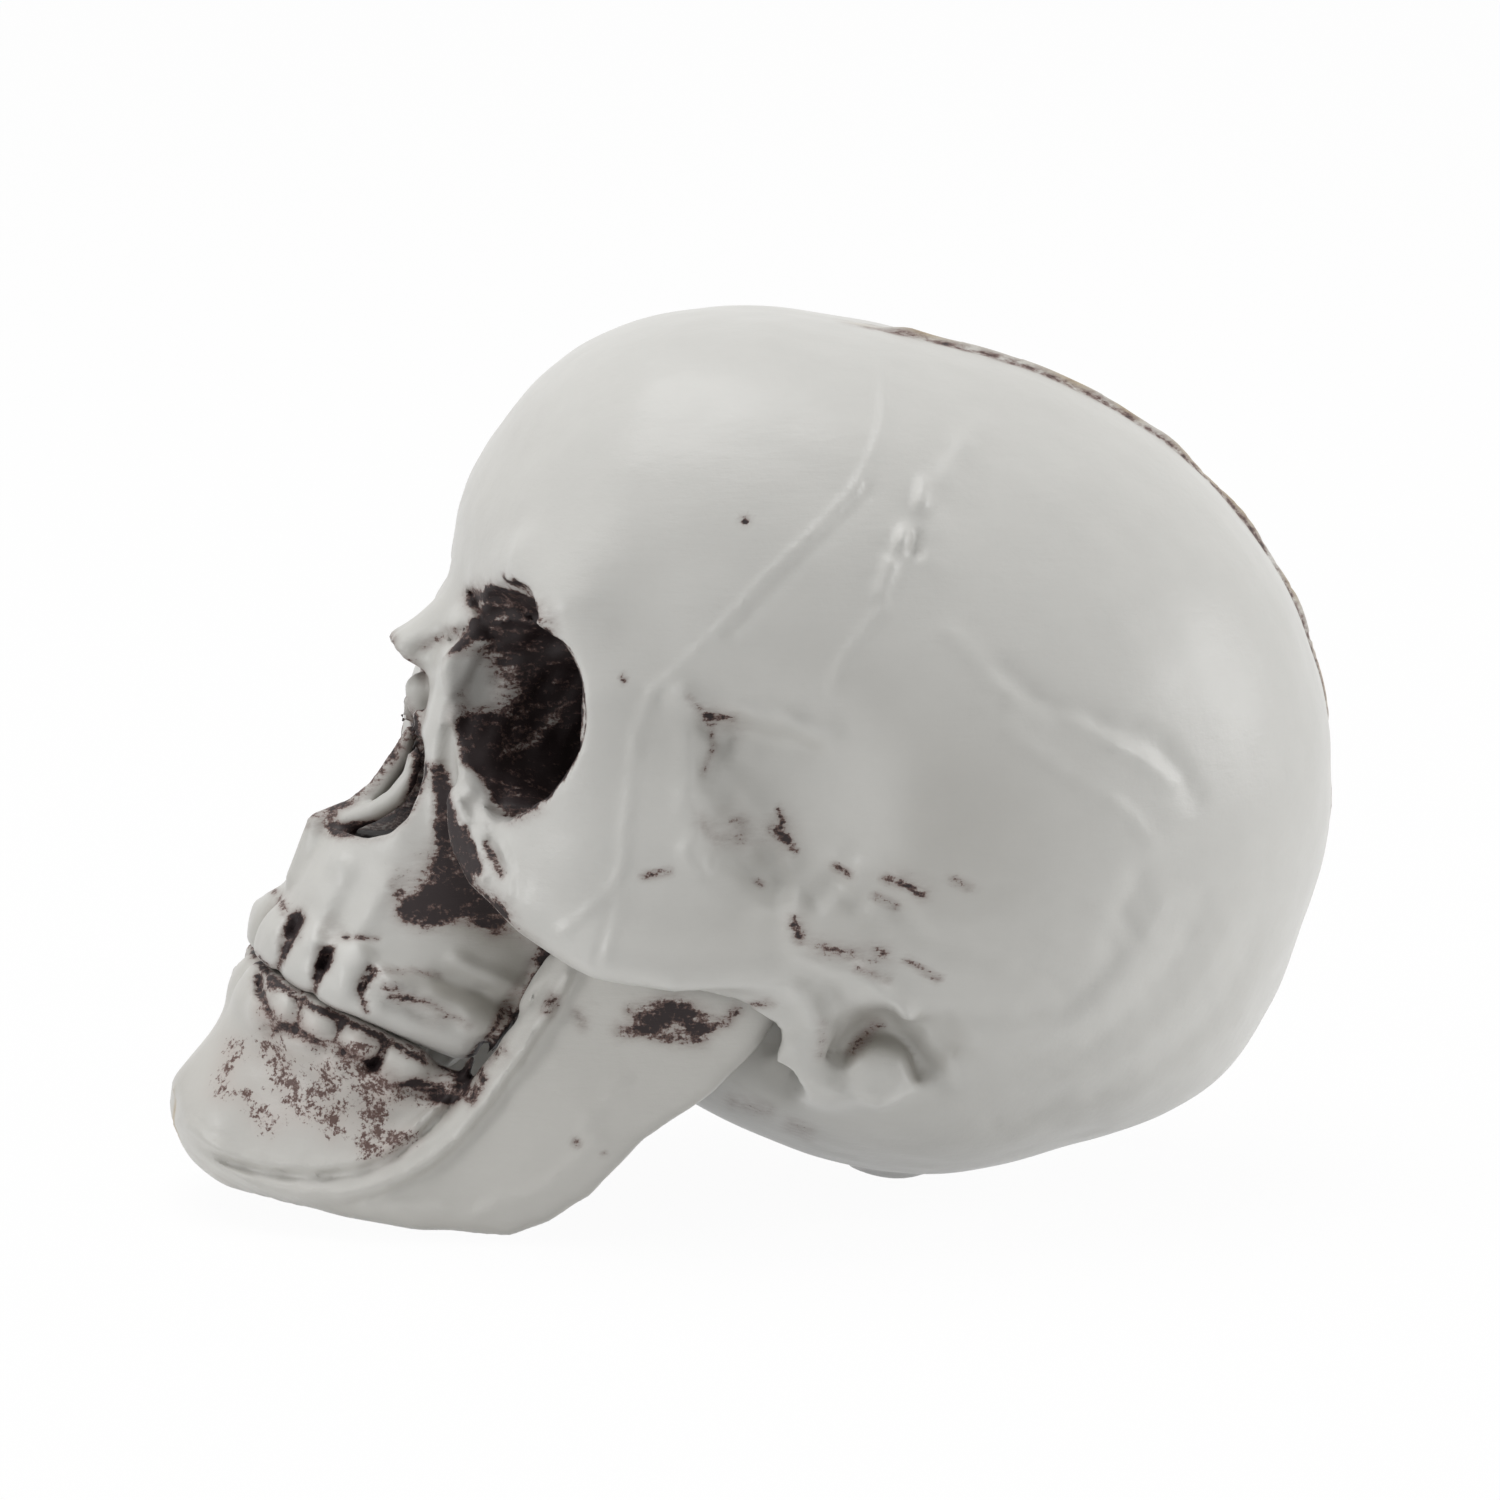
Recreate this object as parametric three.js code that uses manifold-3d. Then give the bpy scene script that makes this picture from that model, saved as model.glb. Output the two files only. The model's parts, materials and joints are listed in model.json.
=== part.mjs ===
// A small moulded plastic skull decoration with a hinged jaw.
//
// The head is two hollow shells and the jaw two solid halves, each pair glued along the middle plane.
// The jaw hangs on two short pins behind the cheek arches and swings open about them.
//
// Every form is first drawn level, in the head's own frame: x to the skull's left, y backwards, z up, with
// y = 0 at the ear holes and z = 0 just under the bite. A form is a function that gives the distance from a
// point to its surface, below zero inside. The last lines tip the head back until it rests on the corners
// of the jaw and on the nub at the back of its base.
import * as THREE from "three";
import { RoundedBoxGeometry } from "three/addons/geometries/RoundedBoxGeometry.js";
import { SimplifyModifier } from "three/addons/modifiers/SimplifyModifier.js";
import { mergeVertices } from "three/addons/utils/BufferGeometryUtils.js";
import Module from "manifold-3d";

// Sizes in millimetres.

// The three scales that the tables of shares follow: half the breadth over the ears, the reach from the ear
// holes to the front teeth, and the rise from the bite to the brow.
const HALF_BREADTH = 24.6;
const FACE_REACH = 38;
const FACE_RISE = 36;

// Braincase: three smooth lobes.
const CROWN_HALF_LENGTH = 30.3;
const CROWN_HALF_HEIGHT = 27.2;
const CROWN_FORWARD = 4;
const CROWN_UP = 30.9;
const FOREHEAD_HALF_BREADTH = 19;
const FOREHEAD_HALF_LENGTH = 15.2;
const FOREHEAD_HALF_HEIGHT = 13.5;
const FOREHEAD_FORWARD = 20.9;
const FOREHEAD_UP = 39.4;
const NAPE_HALF_BREADTH = 19;
const NAPE_HALF_LENGTH = 27;
const NAPE_HALF_HEIGHT = 9.5;
const NAPE_FORWARD = 3.3;
const NAPE_UP = 22.1;
const BASE_HALF_BREADTH = 17;
const BASE_HALF_LENGTH = 12.5;
const BASE_HALF_HEIGHT = 7.3;
const BASE_UP = 13;
const WALL = 1.5;

// Nub that the head rests on, at the back of its base, and the spine hole before it.
const NUB_RADIUS = 1.6;
const NUB_BACK = 7.4;
const NUB_UP = 5.84;
const SPINE_HOLE_HALF_BREADTH = 3.6;
const SPINE_HOLE_HALF_LENGTH = 4.2;
const SPINE_HOLE_BACK = 0.6;

// Temple, brow and cheek.
const TEMPLE_HALF_BREADTH = 9.8;
const TEMPLE_HALF_LENGTH = 9;
const TEMPLE_HALF_HEIGHT = 9.5;
const BROW_RADIUS = 2.6;
const CHEEK_THICKNESS = 4.4;
const CHEEK_HALF_LENGTH = 8.6;
const CHEEK_HALF_HEIGHT = 8;
const CHEEK_TURN = THREE.MathUtils.degToRad(-20);
const CHEEK_EDGE_RADIUS = 1.8;
const POST_RADIUS = 3;

// Eye sockets and nose.
const SOCKET_MOUTH_RADIUS = 6.5;
const SOCKET_BACK_RADIUS = 4.6;
const SOCKET_DEPTH = 15;
const SOCKET_FORWARD = 35.5;
const SOCKET_UP = 25.7;
const SOCKET_OUT = 12.4;
const RIM_RADIUS = 2;
const NOSE_HALF_BREADTH = 4.7;
const NOSE_HALF_HEIGHT = 4.4;
const NOSE_DEPTH = 8;
const NOSE_UP = 15.4;
const NOSE_BONE_RADIUS = 2.6;
const SEPTUM_RADIUS = 1.1;
const GROOVE_RADIUS = 2.6;

// Upper jaw, teeth and bite.
const BITE_UP = 1;
const MOUTH_HALF_BREADTH = 10.7;
const MOUTH_LENGTH = 12.7;
const MOUTH_FORWARD = 25;
const GUM_RISE = 2.6;
const MOUTH_TOP = 17.5;
const MOUTH_REAR = 21.6;
const TOOTH_BREADTH = 2.7;
const TOOTH_DEPTH = 2.6;
const TOOTH_HEIGHT = 4.4;
const TOOTH_ROUNDING = 0.7;
const TOOTH_GAP = 0.35;
const TEETH_IN_ROW = 7;

// Ear hollow.
const EAR_HALF_LENGTH = 3.4;
const EAR_HALF_HEIGHT = 3;
const EAR_DEPTH = 4.2;

// Lower jaw.
const CHIN_FORWARD = 37.3;
const CHIN_DROP = 13;
const JAW_THICKNESS = 4;
const JAW_SPREAD_RADIUS = 6.4;
const BRANCH_THICKNESS = 3.4;
const BRANCH_ROUNDING = 0.8;
const BRANCH_OUT = 17.7;
const BRANCH_LEAN_BELOW = 8.5;

// Jaw hinge. Each pin has a head inside the shell and a seat in the end of the cheek arch.
const HINGE_FORWARD = 9.2;
const HINGE_UP = 18.3;
const KNUCKLE_RADIUS = 1.7;
const PIN_RADIUS = 0.8;
const PIN_HEAD_RADIUS = 1.5;
const PIN_HEAD_THICKNESS = 0.8;
const PIN_SEAT_DEPTH = 1.6;
const PIN_CLEARANCE = 0.3;
const JAW_CLEARANCE = 0.7;
const OPENING = THREE.MathUtils.degToRad(25);
const OPENING_STEPS = 5;

// Softness of the joins between neighbouring forms.
const SOFT_BLEND = 8.5;
const BODY_BLEND = 5;
const FORM_BLEND = 3;
const EDGE_BLEND = 1.8;
const RIM_BLEND = 2.6;

// Sizes of the grid cells that the forms are drawn in, and how far a cutting solid runs past what it cuts.
const FACE_CELL = 1.1;
const CROWN_CELL = 2.8;
const CAVITY_CELL = 2.2;
const OVERRUN = 3;

// A grid's gain in cell size per millimetre, the share of the face's rise that the jaw's grid reaches, how far
// a point may settle as a share of a cell, and the step and least value of the slope that it follows.
const WIDENING_SHARE = 0.33;
const JAW_TOP_SHARE = 0.7;
const SETTLE_SHARE = 0.2;
const SLOPE_STEP_SHARE = 0.1;
const LEAST_SLOPE = 0.5;

// Counts: corner points kept on each form after thinning, points added at a time where that is too few,
// rounds of evening out, and sides of a pin.
const HEAD_POINTS = 2700;
const CAVITY_POINTS = 420;
const JAW_POINTS = 820;
const THINNING_STEP = 150;
const RELAX_ROUNDS = 3;
const PIN_SIDES = 16;

const REST_TILT = THREE.MathUtils.degToRad(25);

// Roundness of the dental arch, and how far a form leans per millimetre of height or depth.
const ARCH_POWER = 2.2;
const BRANCH_LEAN = 0.08;
const UPPER_JAW_LEAN = 0.12;
const LOWER_EDGE_SLOPE = 0.33;

// Tables of shares. Each row is a point as shares of HALF_BREADTH, FACE_REACH (forwards) and FACE_RISE (up),
// then a share of the radius that the chain of points carries.
const BROW_SHARES = [
  [0, 0.868, 0.933, 1], [0.325, 0.838, 0.983, 0.96], [0.569, 0.785, 0.961, 0.88],
];
const NOSE_BONE_SHARES = [
  [0, 0.863, 0.867, 1], [0, 0.9, 0.778, 0.85], [0.024, 0.945, 0.683, 0.77],
];
const CHEEK_EDGE_SHARES = [
  [0.366, 0.816, 0.461, 0.72], [0.528, 0.747, 0.397, 0.83], [0.691, 0.658, 0.378, 0.94],
  [0.821, 0.539, 0.375, 1], [0.87, 0.421, 0.405, 0.94], [0.88, 0.3, 0.478, 1.1], [0.865, 0.216, 0.54, 1.2],
];
const POST_SHARES = [
  [0.675, 0.684, 0.833, 0.87], [0.675, 0.647, 0.667, 1], [0.675, 0.605, 0.528, 1],
];
const RIM_SHARES = [
  [0.203, 0.9, 0.872, 0.8], [0.467, 0.879, 0.95, 0.95], [0.642, 0.811, 0.906, 1], [0.724, 0.726, 0.789, 1],
  [0.707, 0.674, 0.639, 1], [0.585, 0.689, 0.489, 0.85], [0.427, 0.758, 0.45, 0.7], [0.301, 0.816, 0.483, 0.6],
  [0.252, 0.842, 0.572, 0.55], [0.195, 0.879, 0.681, 0.6], [0.175, 0.895, 0.778, 0.75],
];
const NOSE_SIDE_SHARES = [
  [0.211, 0.84, 0.417, 0.75], [0.187, 0.863, 0.583, 0.65], [0.171, 0.885, 0.75, 0.8],
];
const SEPTUM_SHARES = [
  [0, 0.974, 0.322, 1], [0, 0.905, 0.389, 0.9], [0, 0.884, 0.569, 0.7],
];
const GROOVE_SHARES = [
  [0.252, 0.921, 0.625, 0.35], [0.309, 0.911, 0.5, 0.73], [0.398, 0.874, 0.375, 1],
];
// Small forms: the place of the centre, then the half breadth, half length and half height, as shares of the
// same three scales.
const CHEEK_PLACE_SHARES = [0.7, 0.54, 0.57];
const TEMPLE_PLACE_SHARES = [1.203, 0.434, 0.75];
const EAR_PLACE_SHARES = [0.793, 0.037, 0.378];
const EAR_BALL_SHARES = [0.707, -0.008, 0.375, 0.085, 0.046, 0.064];
const JAW_CORE_SHARES = [0, 0.684, 0.528, 0.283, 0.21, 0.224];
const THROAT_SHARES = [0, 0.397, 0.359, 0.326, 0.264, 0.165];
const PALATE_SHARES = [0, 0.632, 0.083, 0.276, 0.253, 0.117];
const SOCKET_FLARE_SHARES = [0.554, 0.827, 0.69, 0.22, 0.217, 0.203];
const NOSE_TOP_SHARES = [0, 1, 0.55, 0.134, 0.179, 0.116];
const CHIN_BOSS_SHARES = [0, 0.918, -0.267, 0.264, 0.079, 0.089];
const NUB_LENGTH_SHARE = 1.5;
const KNUCKLE_LENGTH_SHARE = 0.5;
const TOOTH_SET_SHARE = 0.33;
const HIGH_ARCH_SHARES = [0.72, 0.87];
const LOWER_ARCH_SHARE = 0.96;
const SOCKET_BACK_SHARES = [0.65, 0.955];
const CHIN_FADE_SHARE = 0.654;

// Side outline of the jaw's branch, as shares of FACE_REACH (forwards) and FACE_RISE (up).
const BRANCH_OUTLINE_SHARES = [
  [0.89, -0.33], [0.75, -0.3], [0.592, -0.253], [0.447, -0.2], [0.4, -0.144], [0.358, -0.069], [0.316, 0.067],
  [0.245, 0.203], [0.205, 0.319], [0.19, 0.43], [0.195, 0.52], [0.232, 0.545], [0.275, 0.525], [0.31, 0.41],
  [0.382, 0.356], [0.463, 0.372], [0.495, 0.428], [0.526, 0.406], [0.545, 0.278], [0.568, 0.083],
  [0.6, -0.083], [0.66, -0.167], [0.84, -0.21],
];

// Materials.
const BONE = 0xd3d6d0;
const JAW_BONE = 0xcfd2cc;
const PIN_METAL = 0xb9bcc0;
const BONE_ROUGHNESS = 0.45;
const PIN_ROUGHNESS = 0.3;

// Distance functions. Each returns a function of a point.

const { abs, hypot, max, min, sqrt } = Math;

// A smooth minimum rounds the crease between two forms over a width of about the blend.
const softMin = (a, b, blend) => {
  const h = max(blend - abs(a - b), 0) / blend;
  return min(a, b) - h * h * blend / 4;
};
const join = (a, b, blend) => (x, y, z) => softMin(a(x, y, z), b(x, y, z), blend);
const cut = (a, b, blend) => (x, y, z) => -softMin(-a(x, y, z), b(x, y, z), blend);
const overlap = (a, b, blend) => (x, y, z) => -softMin(-a(x, y, z), -b(x, y, z), blend);
const grow = (a, by) => (x, y, z) => a(x, y, z) - by;
const joinAll = (forms, blend) => forms.reduce((a, b) => join(a, b, blend));

function ellipsoid([cx, cy, cz], [rx, ry, rz], turn = 0) {
  const c = Math.cos(turn), s = Math.sin(turn);
  return (x, y, z) => {
    const u = (x - cx) * c + (y - cy) * s, v = (y - cy) * c - (x - cx) * s, w = z - cz;
    const k = hypot(u / rx, v / ry, w / rz);
    const g = hypot(u / rx ** 2, v / ry ** 2, w / rz ** 2);
    return g > 0 ? k * (k - 1) / g : -min(rx, ry, rz);
  };
}

function roundCone([ax, ay, az], [bx, by, bz], ra, rb) {
  const dx = bx - ax, dy = by - ay, dz = bz - az;
  const square = dx * dx + dy * dy + dz * dz;
  return (x, y, z) => {
    const t = min(max(((x - ax) * dx + (y - ay) * dy + (z - az) * dz) / square, 0), 1);
    return hypot(x - ax - t * dx, y - ay - t * dy, z - az - t * dz) - ra - t * (rb - ra);
  };
}

const place = ([out, forward, up]) => [out * HALF_BREADTH, -forward * FACE_REACH, up * FACE_RISE];
function lobe(shares) {
  return ellipsoid(place(shares), [HALF_BREADTH, FACE_REACH, FACE_RISE].map((v, i) => v * shares[i + 3]));
}

// Round cones from row to row of a table of shares.
function chain(shares, radius) {
  const cones = shares.slice(1).map((row, i) =>
    roundCone(place(shares[i]), place(row), shares[i][3] * radius, row[3] * radius));
  return (x, y, z) => cones.reduce((d, cone) => min(d, cone(x, y, z)), Infinity);
}

// Distance to a closed side outline, for a plate that stands across x.
function outline(points) {
  return (x, y, z) => {
    let square = Infinity, inside = false;
    for (let i = 0, j = points.length - 1; i < points.length; j = i++) {
      const [ay, az] = points[i], ey = points[j][0] - ay, ez = points[j][1] - az;
      const t = min(max(((y - ay) * ey + (z - az) * ez) / (ey * ey + ez * ez), 0), 1);
      square = min(square, (y - ay - t * ey) ** 2 + (z - az - t * ez) ** 2);
      if (az > z !== az + ez > z && y < ay + ey * (z - az) / ez) inside = !inside;
    }
    return (inside ? -1 : 1) * sqrt(square);
  };
}

// The dental arch seen from above: a rounded horseshoe, straight behind its centre line.
function horseshoe(halfBreadth, length) {
  return (x, y) => {
    const ahead = max(-(y + MOUTH_FORWARD) / length, 0);
    const k = (abs(x / halfBreadth) ** ARCH_POWER + ahead ** ARCH_POWER) ** (1 / ARCH_POWER);
    return (k - 1) * min(halfBreadth, length);
  };
}
function archPoint(halfBreadth, length, share) {
  const s = Math.sin(share * Math.PI / 2), c = Math.cos(share * Math.PI / 2);
  const k = (s ** ARCH_POWER + c ** ARCH_POWER) ** (-1 / ARCH_POWER);
  return [halfBreadth * s * k, -MOUTH_FORWARD - length * c * k];
}

// Head.

function braincase() {
  const forehead = ellipsoid([0, -FOREHEAD_FORWARD, FOREHEAD_UP],
    [FOREHEAD_HALF_BREADTH, FOREHEAD_HALF_LENGTH, FOREHEAD_HALF_HEIGHT]);
  const crown = ellipsoid([0, -CROWN_FORWARD, CROWN_UP], [HALF_BREADTH, CROWN_HALF_LENGTH, CROWN_HALF_HEIGHT]);
  const nape = ellipsoid([0, -NAPE_FORWARD, NAPE_UP], [NAPE_HALF_BREADTH, NAPE_HALF_LENGTH, NAPE_HALF_HEIGHT]);
  const base = ellipsoid([0, WALL, BASE_UP], [BASE_HALF_BREADTH, BASE_HALF_LENGTH, BASE_HALF_HEIGHT]);
  return join(joinAll([forehead, crown, nape], SOFT_BLEND), base, BODY_BLEND);
}

function cheek() {
  const radii = [CHEEK_THICKNESS, CHEEK_HALF_LENGTH, CHEEK_HALF_HEIGHT];
  const sheet = ellipsoid(place(CHEEK_PLACE_SHARES), radii, CHEEK_TURN);
  const edge = chain(CHEEK_EDGE_SHARES, CHEEK_EDGE_RADIUS);
  return joinAll([sheet, edge, chain(POST_SHARES, POST_RADIUS)], FORM_BLEND);
}

// The upper jaw narrows upwards from the gums to the nose.
function upperJaw() {
  const low = horseshoe(MOUTH_HALF_BREADTH, MOUTH_LENGTH);
  const high = horseshoe(MOUTH_HALF_BREADTH * HIGH_ARCH_SHARES[0], MOUTH_LENGTH * HIGH_ARCH_SHARES[1]);
  const block = (x, y, z) => {
    const rise = min(max((z - BITE_UP - GUM_RISE) / (MOUTH_TOP - BITE_UP - GUM_RISE), 0), 1);
    return low(x, y) * (1 - rise) + high(x, y) * rise;
  };
  const above = (x, y, z) => BITE_UP + GUM_RISE - z;
  const below = (x, y, z) => z - MOUTH_TOP;
  const ahead = (x, y, z) => y + MOUTH_REAR - UPPER_JAW_LEAN * (z - BITE_UP);
  const trimmed = [[below, FORM_BLEND], [above, EDGE_BLEND], [ahead, EDGE_BLEND]]
    .reduce((form, [side, blend]) => overlap(form, side, blend), block);
  const noseSide = chain(NOSE_SIDE_SHARES, RIM_RADIUS);
  return joinAll([trimmed, lobe(JAW_CORE_SHARES), lobe(THROAT_SHARES), noseSide], FORM_BLEND);
}

function socket() {
  const front = [SOCKET_OUT, -SOCKET_FORWARD, SOCKET_UP];
  const [inward, lower] = SOCKET_BACK_SHARES;
  const back = [SOCKET_OUT * inward, SOCKET_DEPTH - SOCKET_FORWARD, SOCKET_UP * lower];
  const cone = roundCone(front, back, SOCKET_MOUTH_RADIUS, SOCKET_BACK_RADIUS);
  return join(cone, lobe(SOCKET_FLARE_SHARES), FORM_BLEND);
}

function noseOpening() {
  const low = ellipsoid([0, -FACE_REACH, NOSE_UP], [NOSE_HALF_BREADTH, NOSE_DEPTH, NOSE_HALF_HEIGHT]);
  return join(low, lobe(NOSE_TOP_SHARES), EDGE_BLEND);
}

// The room that the jaw's branch sweeps as it opens, with its clearance.
function branchRoom() {
  const still = grow(branch(), JAW_CLEARANCE);
  const turns = Array.from({ length: OPENING_STEPS + 1 }, (_, i) => {
    const angle = i * OPENING / OPENING_STEPS;
    return [Math.cos(angle), Math.sin(angle)];
  });
  return (x, y, z) => turns.reduce((d, [c, s]) => {
    const v = y + HINGE_FORWARD, w = z - HINGE_UP;
    return min(d, still(x, v * c + w * s - HINGE_FORWARD, w * c - v * s + HINGE_UP));
  }, Infinity);
}

function headForm() {
  const templeRadii = [TEMPLE_HALF_BREADTH, TEMPLE_HALF_LENGTH, TEMPLE_HALF_HEIGHT];
  const nubRadii = [NUB_RADIUS, NUB_RADIUS * NUB_LENGTH_SHARE, NUB_RADIUS];
  const ear = ellipsoid(place(EAR_PLACE_SHARES), [EAR_DEPTH, EAR_HALF_LENGTH, EAR_HALF_HEIGHT]);
  const spine = ellipsoid([0, SPINE_HOLE_BACK, BASE_UP - BASE_HALF_HEIGHT],
    [SPINE_HOLE_HALF_BREADTH, SPINE_HOLE_HALF_LENGTH, SPINE_HOLE_HALF_LENGTH]);
  let head = cut(braincase(), ellipsoid(place(TEMPLE_PLACE_SHARES), templeRadii), BODY_BLEND);
  head = join(head, ellipsoid([0, NUB_BACK, NUB_UP], nubRadii), FORM_BLEND);
  head = join(head, chain(BROW_SHARES, BROW_RADIUS), BODY_BLEND);
  head = join(head, chain(NOSE_BONE_SHARES, NOSE_BONE_RADIUS), FORM_BLEND);
  head = join(head, cheek(), FORM_BLEND);
  head = join(head, upperJaw(), EDGE_BLEND);
  head = join(head, chain(RIM_SHARES, RIM_RADIUS), EDGE_BLEND);
  head = cut(head, socket(), RIM_BLEND);
  head = cut(head, chain(GROOVE_SHARES, GROOVE_RADIUS), EDGE_BLEND);
  head = cut(head, noseOpening(), EDGE_BLEND);
  head = join(head, chain(SEPTUM_SHARES, SEPTUM_RADIUS), EDGE_BLEND);
  head = cut(head, lobe(PALATE_SHARES), EDGE_BLEND);
  head = cut(head, ear, EDGE_BLEND);
  head = join(head, lobe(EAR_BALL_SHARES), EDGE_BLEND);
  head = cut(head, spine, EDGE_BLEND);
  return cut(head, branchRoom(), EDGE_BLEND);
}

// Lower jaw.

// A plate that leans outwards as it rises and follows the jaw's own parabola where it meets the body.
function branch() {
  const side = outline(BRANCH_OUTLINE_SHARES.map(([forward, up]) => [-forward * FACE_REACH, up * FACE_RISE]));
  const plate = (x, y, z) => {
    const spread = sqrt(2 * JAW_SPREAD_RADIUS * max(y + CHIN_FORWARD, 0)) - BRANCH_THICKNESS / 2;
    const middle = softMin(BRANCH_OUT + min(z - BRANCH_LEAN_BELOW, 0) * BRANCH_LEAN, spread, FORM_BLEND);
    return abs(x - middle) - BRANCH_THICKNESS / 2;
  };
  const half = BRANCH_THICKNESS * KNUCKLE_LENGTH_SHARE / 2;
  const knuckle = roundCone([BRANCH_OUT - half, -HINGE_FORWARD, HINGE_UP],
    [BRANCH_OUT + half, -HINGE_FORWARD, HINGE_UP], KNUCKLE_RADIUS, KNUCKLE_RADIUS);
  return join(overlap(grow(side, BRANCH_ROUNDING), plate, EDGE_BLEND), knuckle, EDGE_BLEND);
}

// The body of the jaw is a horseshoe at the teeth and a parabola at its lower edge.
function jawForm() {
  const teethLine = horseshoe(MOUTH_HALF_BREADTH * LOWER_ARCH_SHARE, MOUTH_LENGTH);
  const outside = (x, y, z) => {
    const drop = min(max((-z - BITE_UP / 2) / (CHIN_DROP * CHIN_FADE_SHARE), 0), 1);
    const share = drop * drop * (3 - 2 * drop);
    const slope = x / JAW_SPREAD_RADIUS;
    const lower = (x * slope / 2 - y - CHIN_FORWARD) / sqrt(1 + slope * slope);
    return teethLine(x, y) * (1 - share) + lower * share;
  };
  const inside = (x, y, z) => -outside(x, y, z) - JAW_THICKNESS;
  const under = (x, y, z) => z + BITE_UP;
  const over = (x, y, z) => LOWER_EDGE_SLOPE * max(y + CHIN_FORWARD - JAW_THICKNESS, 0) - CHIN_DROP - z;
  const ahead = (x, y) => y + MOUTH_REAR;
  const body = [[inside, EDGE_BLEND], [under, EDGE_BLEND], [over, FORM_BLEND], [ahead, FORM_BLEND]]
    .reduce((form, [side, blend]) => overlap(form, side, blend), outside);
  return joinAll([body, lobe(CHIN_BOSS_SHARES), branch()], FORM_BLEND);
}

// Meshing. The grid is fine over the face and coarse over the braincase.

// Grid lines from low to high, fine up to the turn and widening evenly beyond it.
function lines(low, turn, high, fine, coarse) {
  const places = [];
  const step = (at) => at < turn ? fine : min(fine + (at - turn) * WIDENING_SHARE, coarse);
  for (let at = low; at < high + coarse; at += step(at)) places.push(at);
  return places;
}

// Corners that touch only across a diagonal would pinch the surface, so the nearer one joins the inside.
function unpinch(values, [nx, ny, nz]) {
  const strides = [ny * nz, nz, 1];
  let changed = true;
  while (changed) {
    changed = false;
    for (let i = 0; i < nx - 1; i++) for (let j = 0; j < ny - 1; j++) for (let k = 0; k < nz - 1; k++) {
      const at = i * strides[0] + j * strides[1] + k;
      for (const [s, t] of [[0, 1], [1, 2], [0, 2]]) {
        for (const lift of [0, strides[3 - s - t]]) {
          const a = at + lift, b = a + strides[s], c = a + strides[t], d = b + strides[t];
          const diagonal = (values[a] < 0) === (values[d] < 0) && (values[b] < 0) === (values[c] < 0);
          if (!diagonal || (values[a] < 0) === (values[b] < 0)) continue;
          const [p, q] = values[a] < 0 ? [b, c] : [a, d];
          values[values[p] < values[q] ? p : q] *= -1;
          changed = true;
        }
      }
      const corners = [0, 1, 2, 3, 4, 5, 6, 7].map((n) =>
        at + (n & 1) * strides[0] + (n >> 1 & 1) * strides[1] + (n >> 2) * strides[2]);
      const inner = corners.filter((n) => values[n] < 0);
      for (let n = 0; n < 4; n++) {
        const pair = [corners[n], corners[7 - n]];
        const alone = inner.length === 2 && pair.every((p) => values[p] < 0);
        const open = inner.length === 6 && pair.every((p) => values[p] >= 0);
        if (!alone && !open) continue;
        const flip = open ? pair[0] : corners.find((p) => values[p] >= 0);
        values[flip] *= -1;
        changed = true;
      }
    }
  }
}

// A step down the slope brings a point near the surface onto it, by less than a quarter of a facet.
function settle(form, [x, y, z]) {
  const d = form(abs(x), y, z), h = EDGE_BLEND * SLOPE_STEP_SHARE, side = x < 0 ? -1 : 1;
  const gx = side * (form(abs(x) + h, y, z) - form(abs(x) - h, y, z)) / (2 * h);
  const gy = (form(abs(x), y + h, z) - form(abs(x), y - h, z)) / (2 * h);
  const gz = (form(abs(x), y, z + h) - form(abs(x), y, z - h)) / (2 * h);
  const slope = hypot(gx, gy, gz);
  const most = FACE_CELL * SETTLE_SHARE;
  const move = slope > LEAST_SLOPE ? min(max(d / slope, -most), most) / slope : 0;
  return [x - move * gx, y - move * gy, z - move * gz];
}

// Each point moves halfway to the middle of its neighbours, which evens the facets, and back to the surface.
function relax(form, positions, triangles) {
  const sums = new Float64Array(positions.length), counts = new Float64Array(positions.length / 3);
  for (let t = 0; t < triangles.length; t += 3) {
    for (let n = 0; n < 3; n++) {
      const a = triangles[t + n], b = triangles[t + (n + 1) % 3];
      for (let m = 0; m < 3; m++) sums[3 * a + m] += positions[3 * b + m];
      counts[a]++;
    }
  }
  counts.forEach((count, a) => {
    const eased = [0, 1, 2].map((m) => (positions[3 * a + m] + sums[3 * a + m] / count) / 2);
    settle(form, eased).forEach((value, m) => {
      positions[3 * a + m] = value;
    });
  });
}

// The same facets with their places alone.
function bare(geometry) {
  const copy = geometry.clone();
  copy.deleteAttribute("normal");
  copy.deleteAttribute("uv");
  return copy;
}

// True where each edge of the facets runs once in either direction.
function closed(geometry) {
  const corners = geometry.index.array, edges = new Set();
  for (let t = 0; t < corners.length; t += 3) {
    for (let n = 0; n < 3; n++) edges.add(corners[t + n] + ":" + corners[t + (n + 1) % 3]);
  }
  const turned = (edge) => edge.split(":").reverse().join(":");
  return edges.size === corners.length && [...edges].every((edge) => edges.has(turned(edge)));
}

// Thinning can fold a thin edge onto itself, so more points stay until every edge joins two facets.
async function thinned(geometry, points) {
  const count = geometry.attributes.position.count;
  let thin = geometry;
  for (let kept = points; kept < count; kept += THINNING_STEP) {
    thin = mergeVertices(bare(await new SimplifyModifier().modify(geometry, count - kept)));
    if (closed(thin)) return thin;
  }
  return geometry;
}

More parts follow.
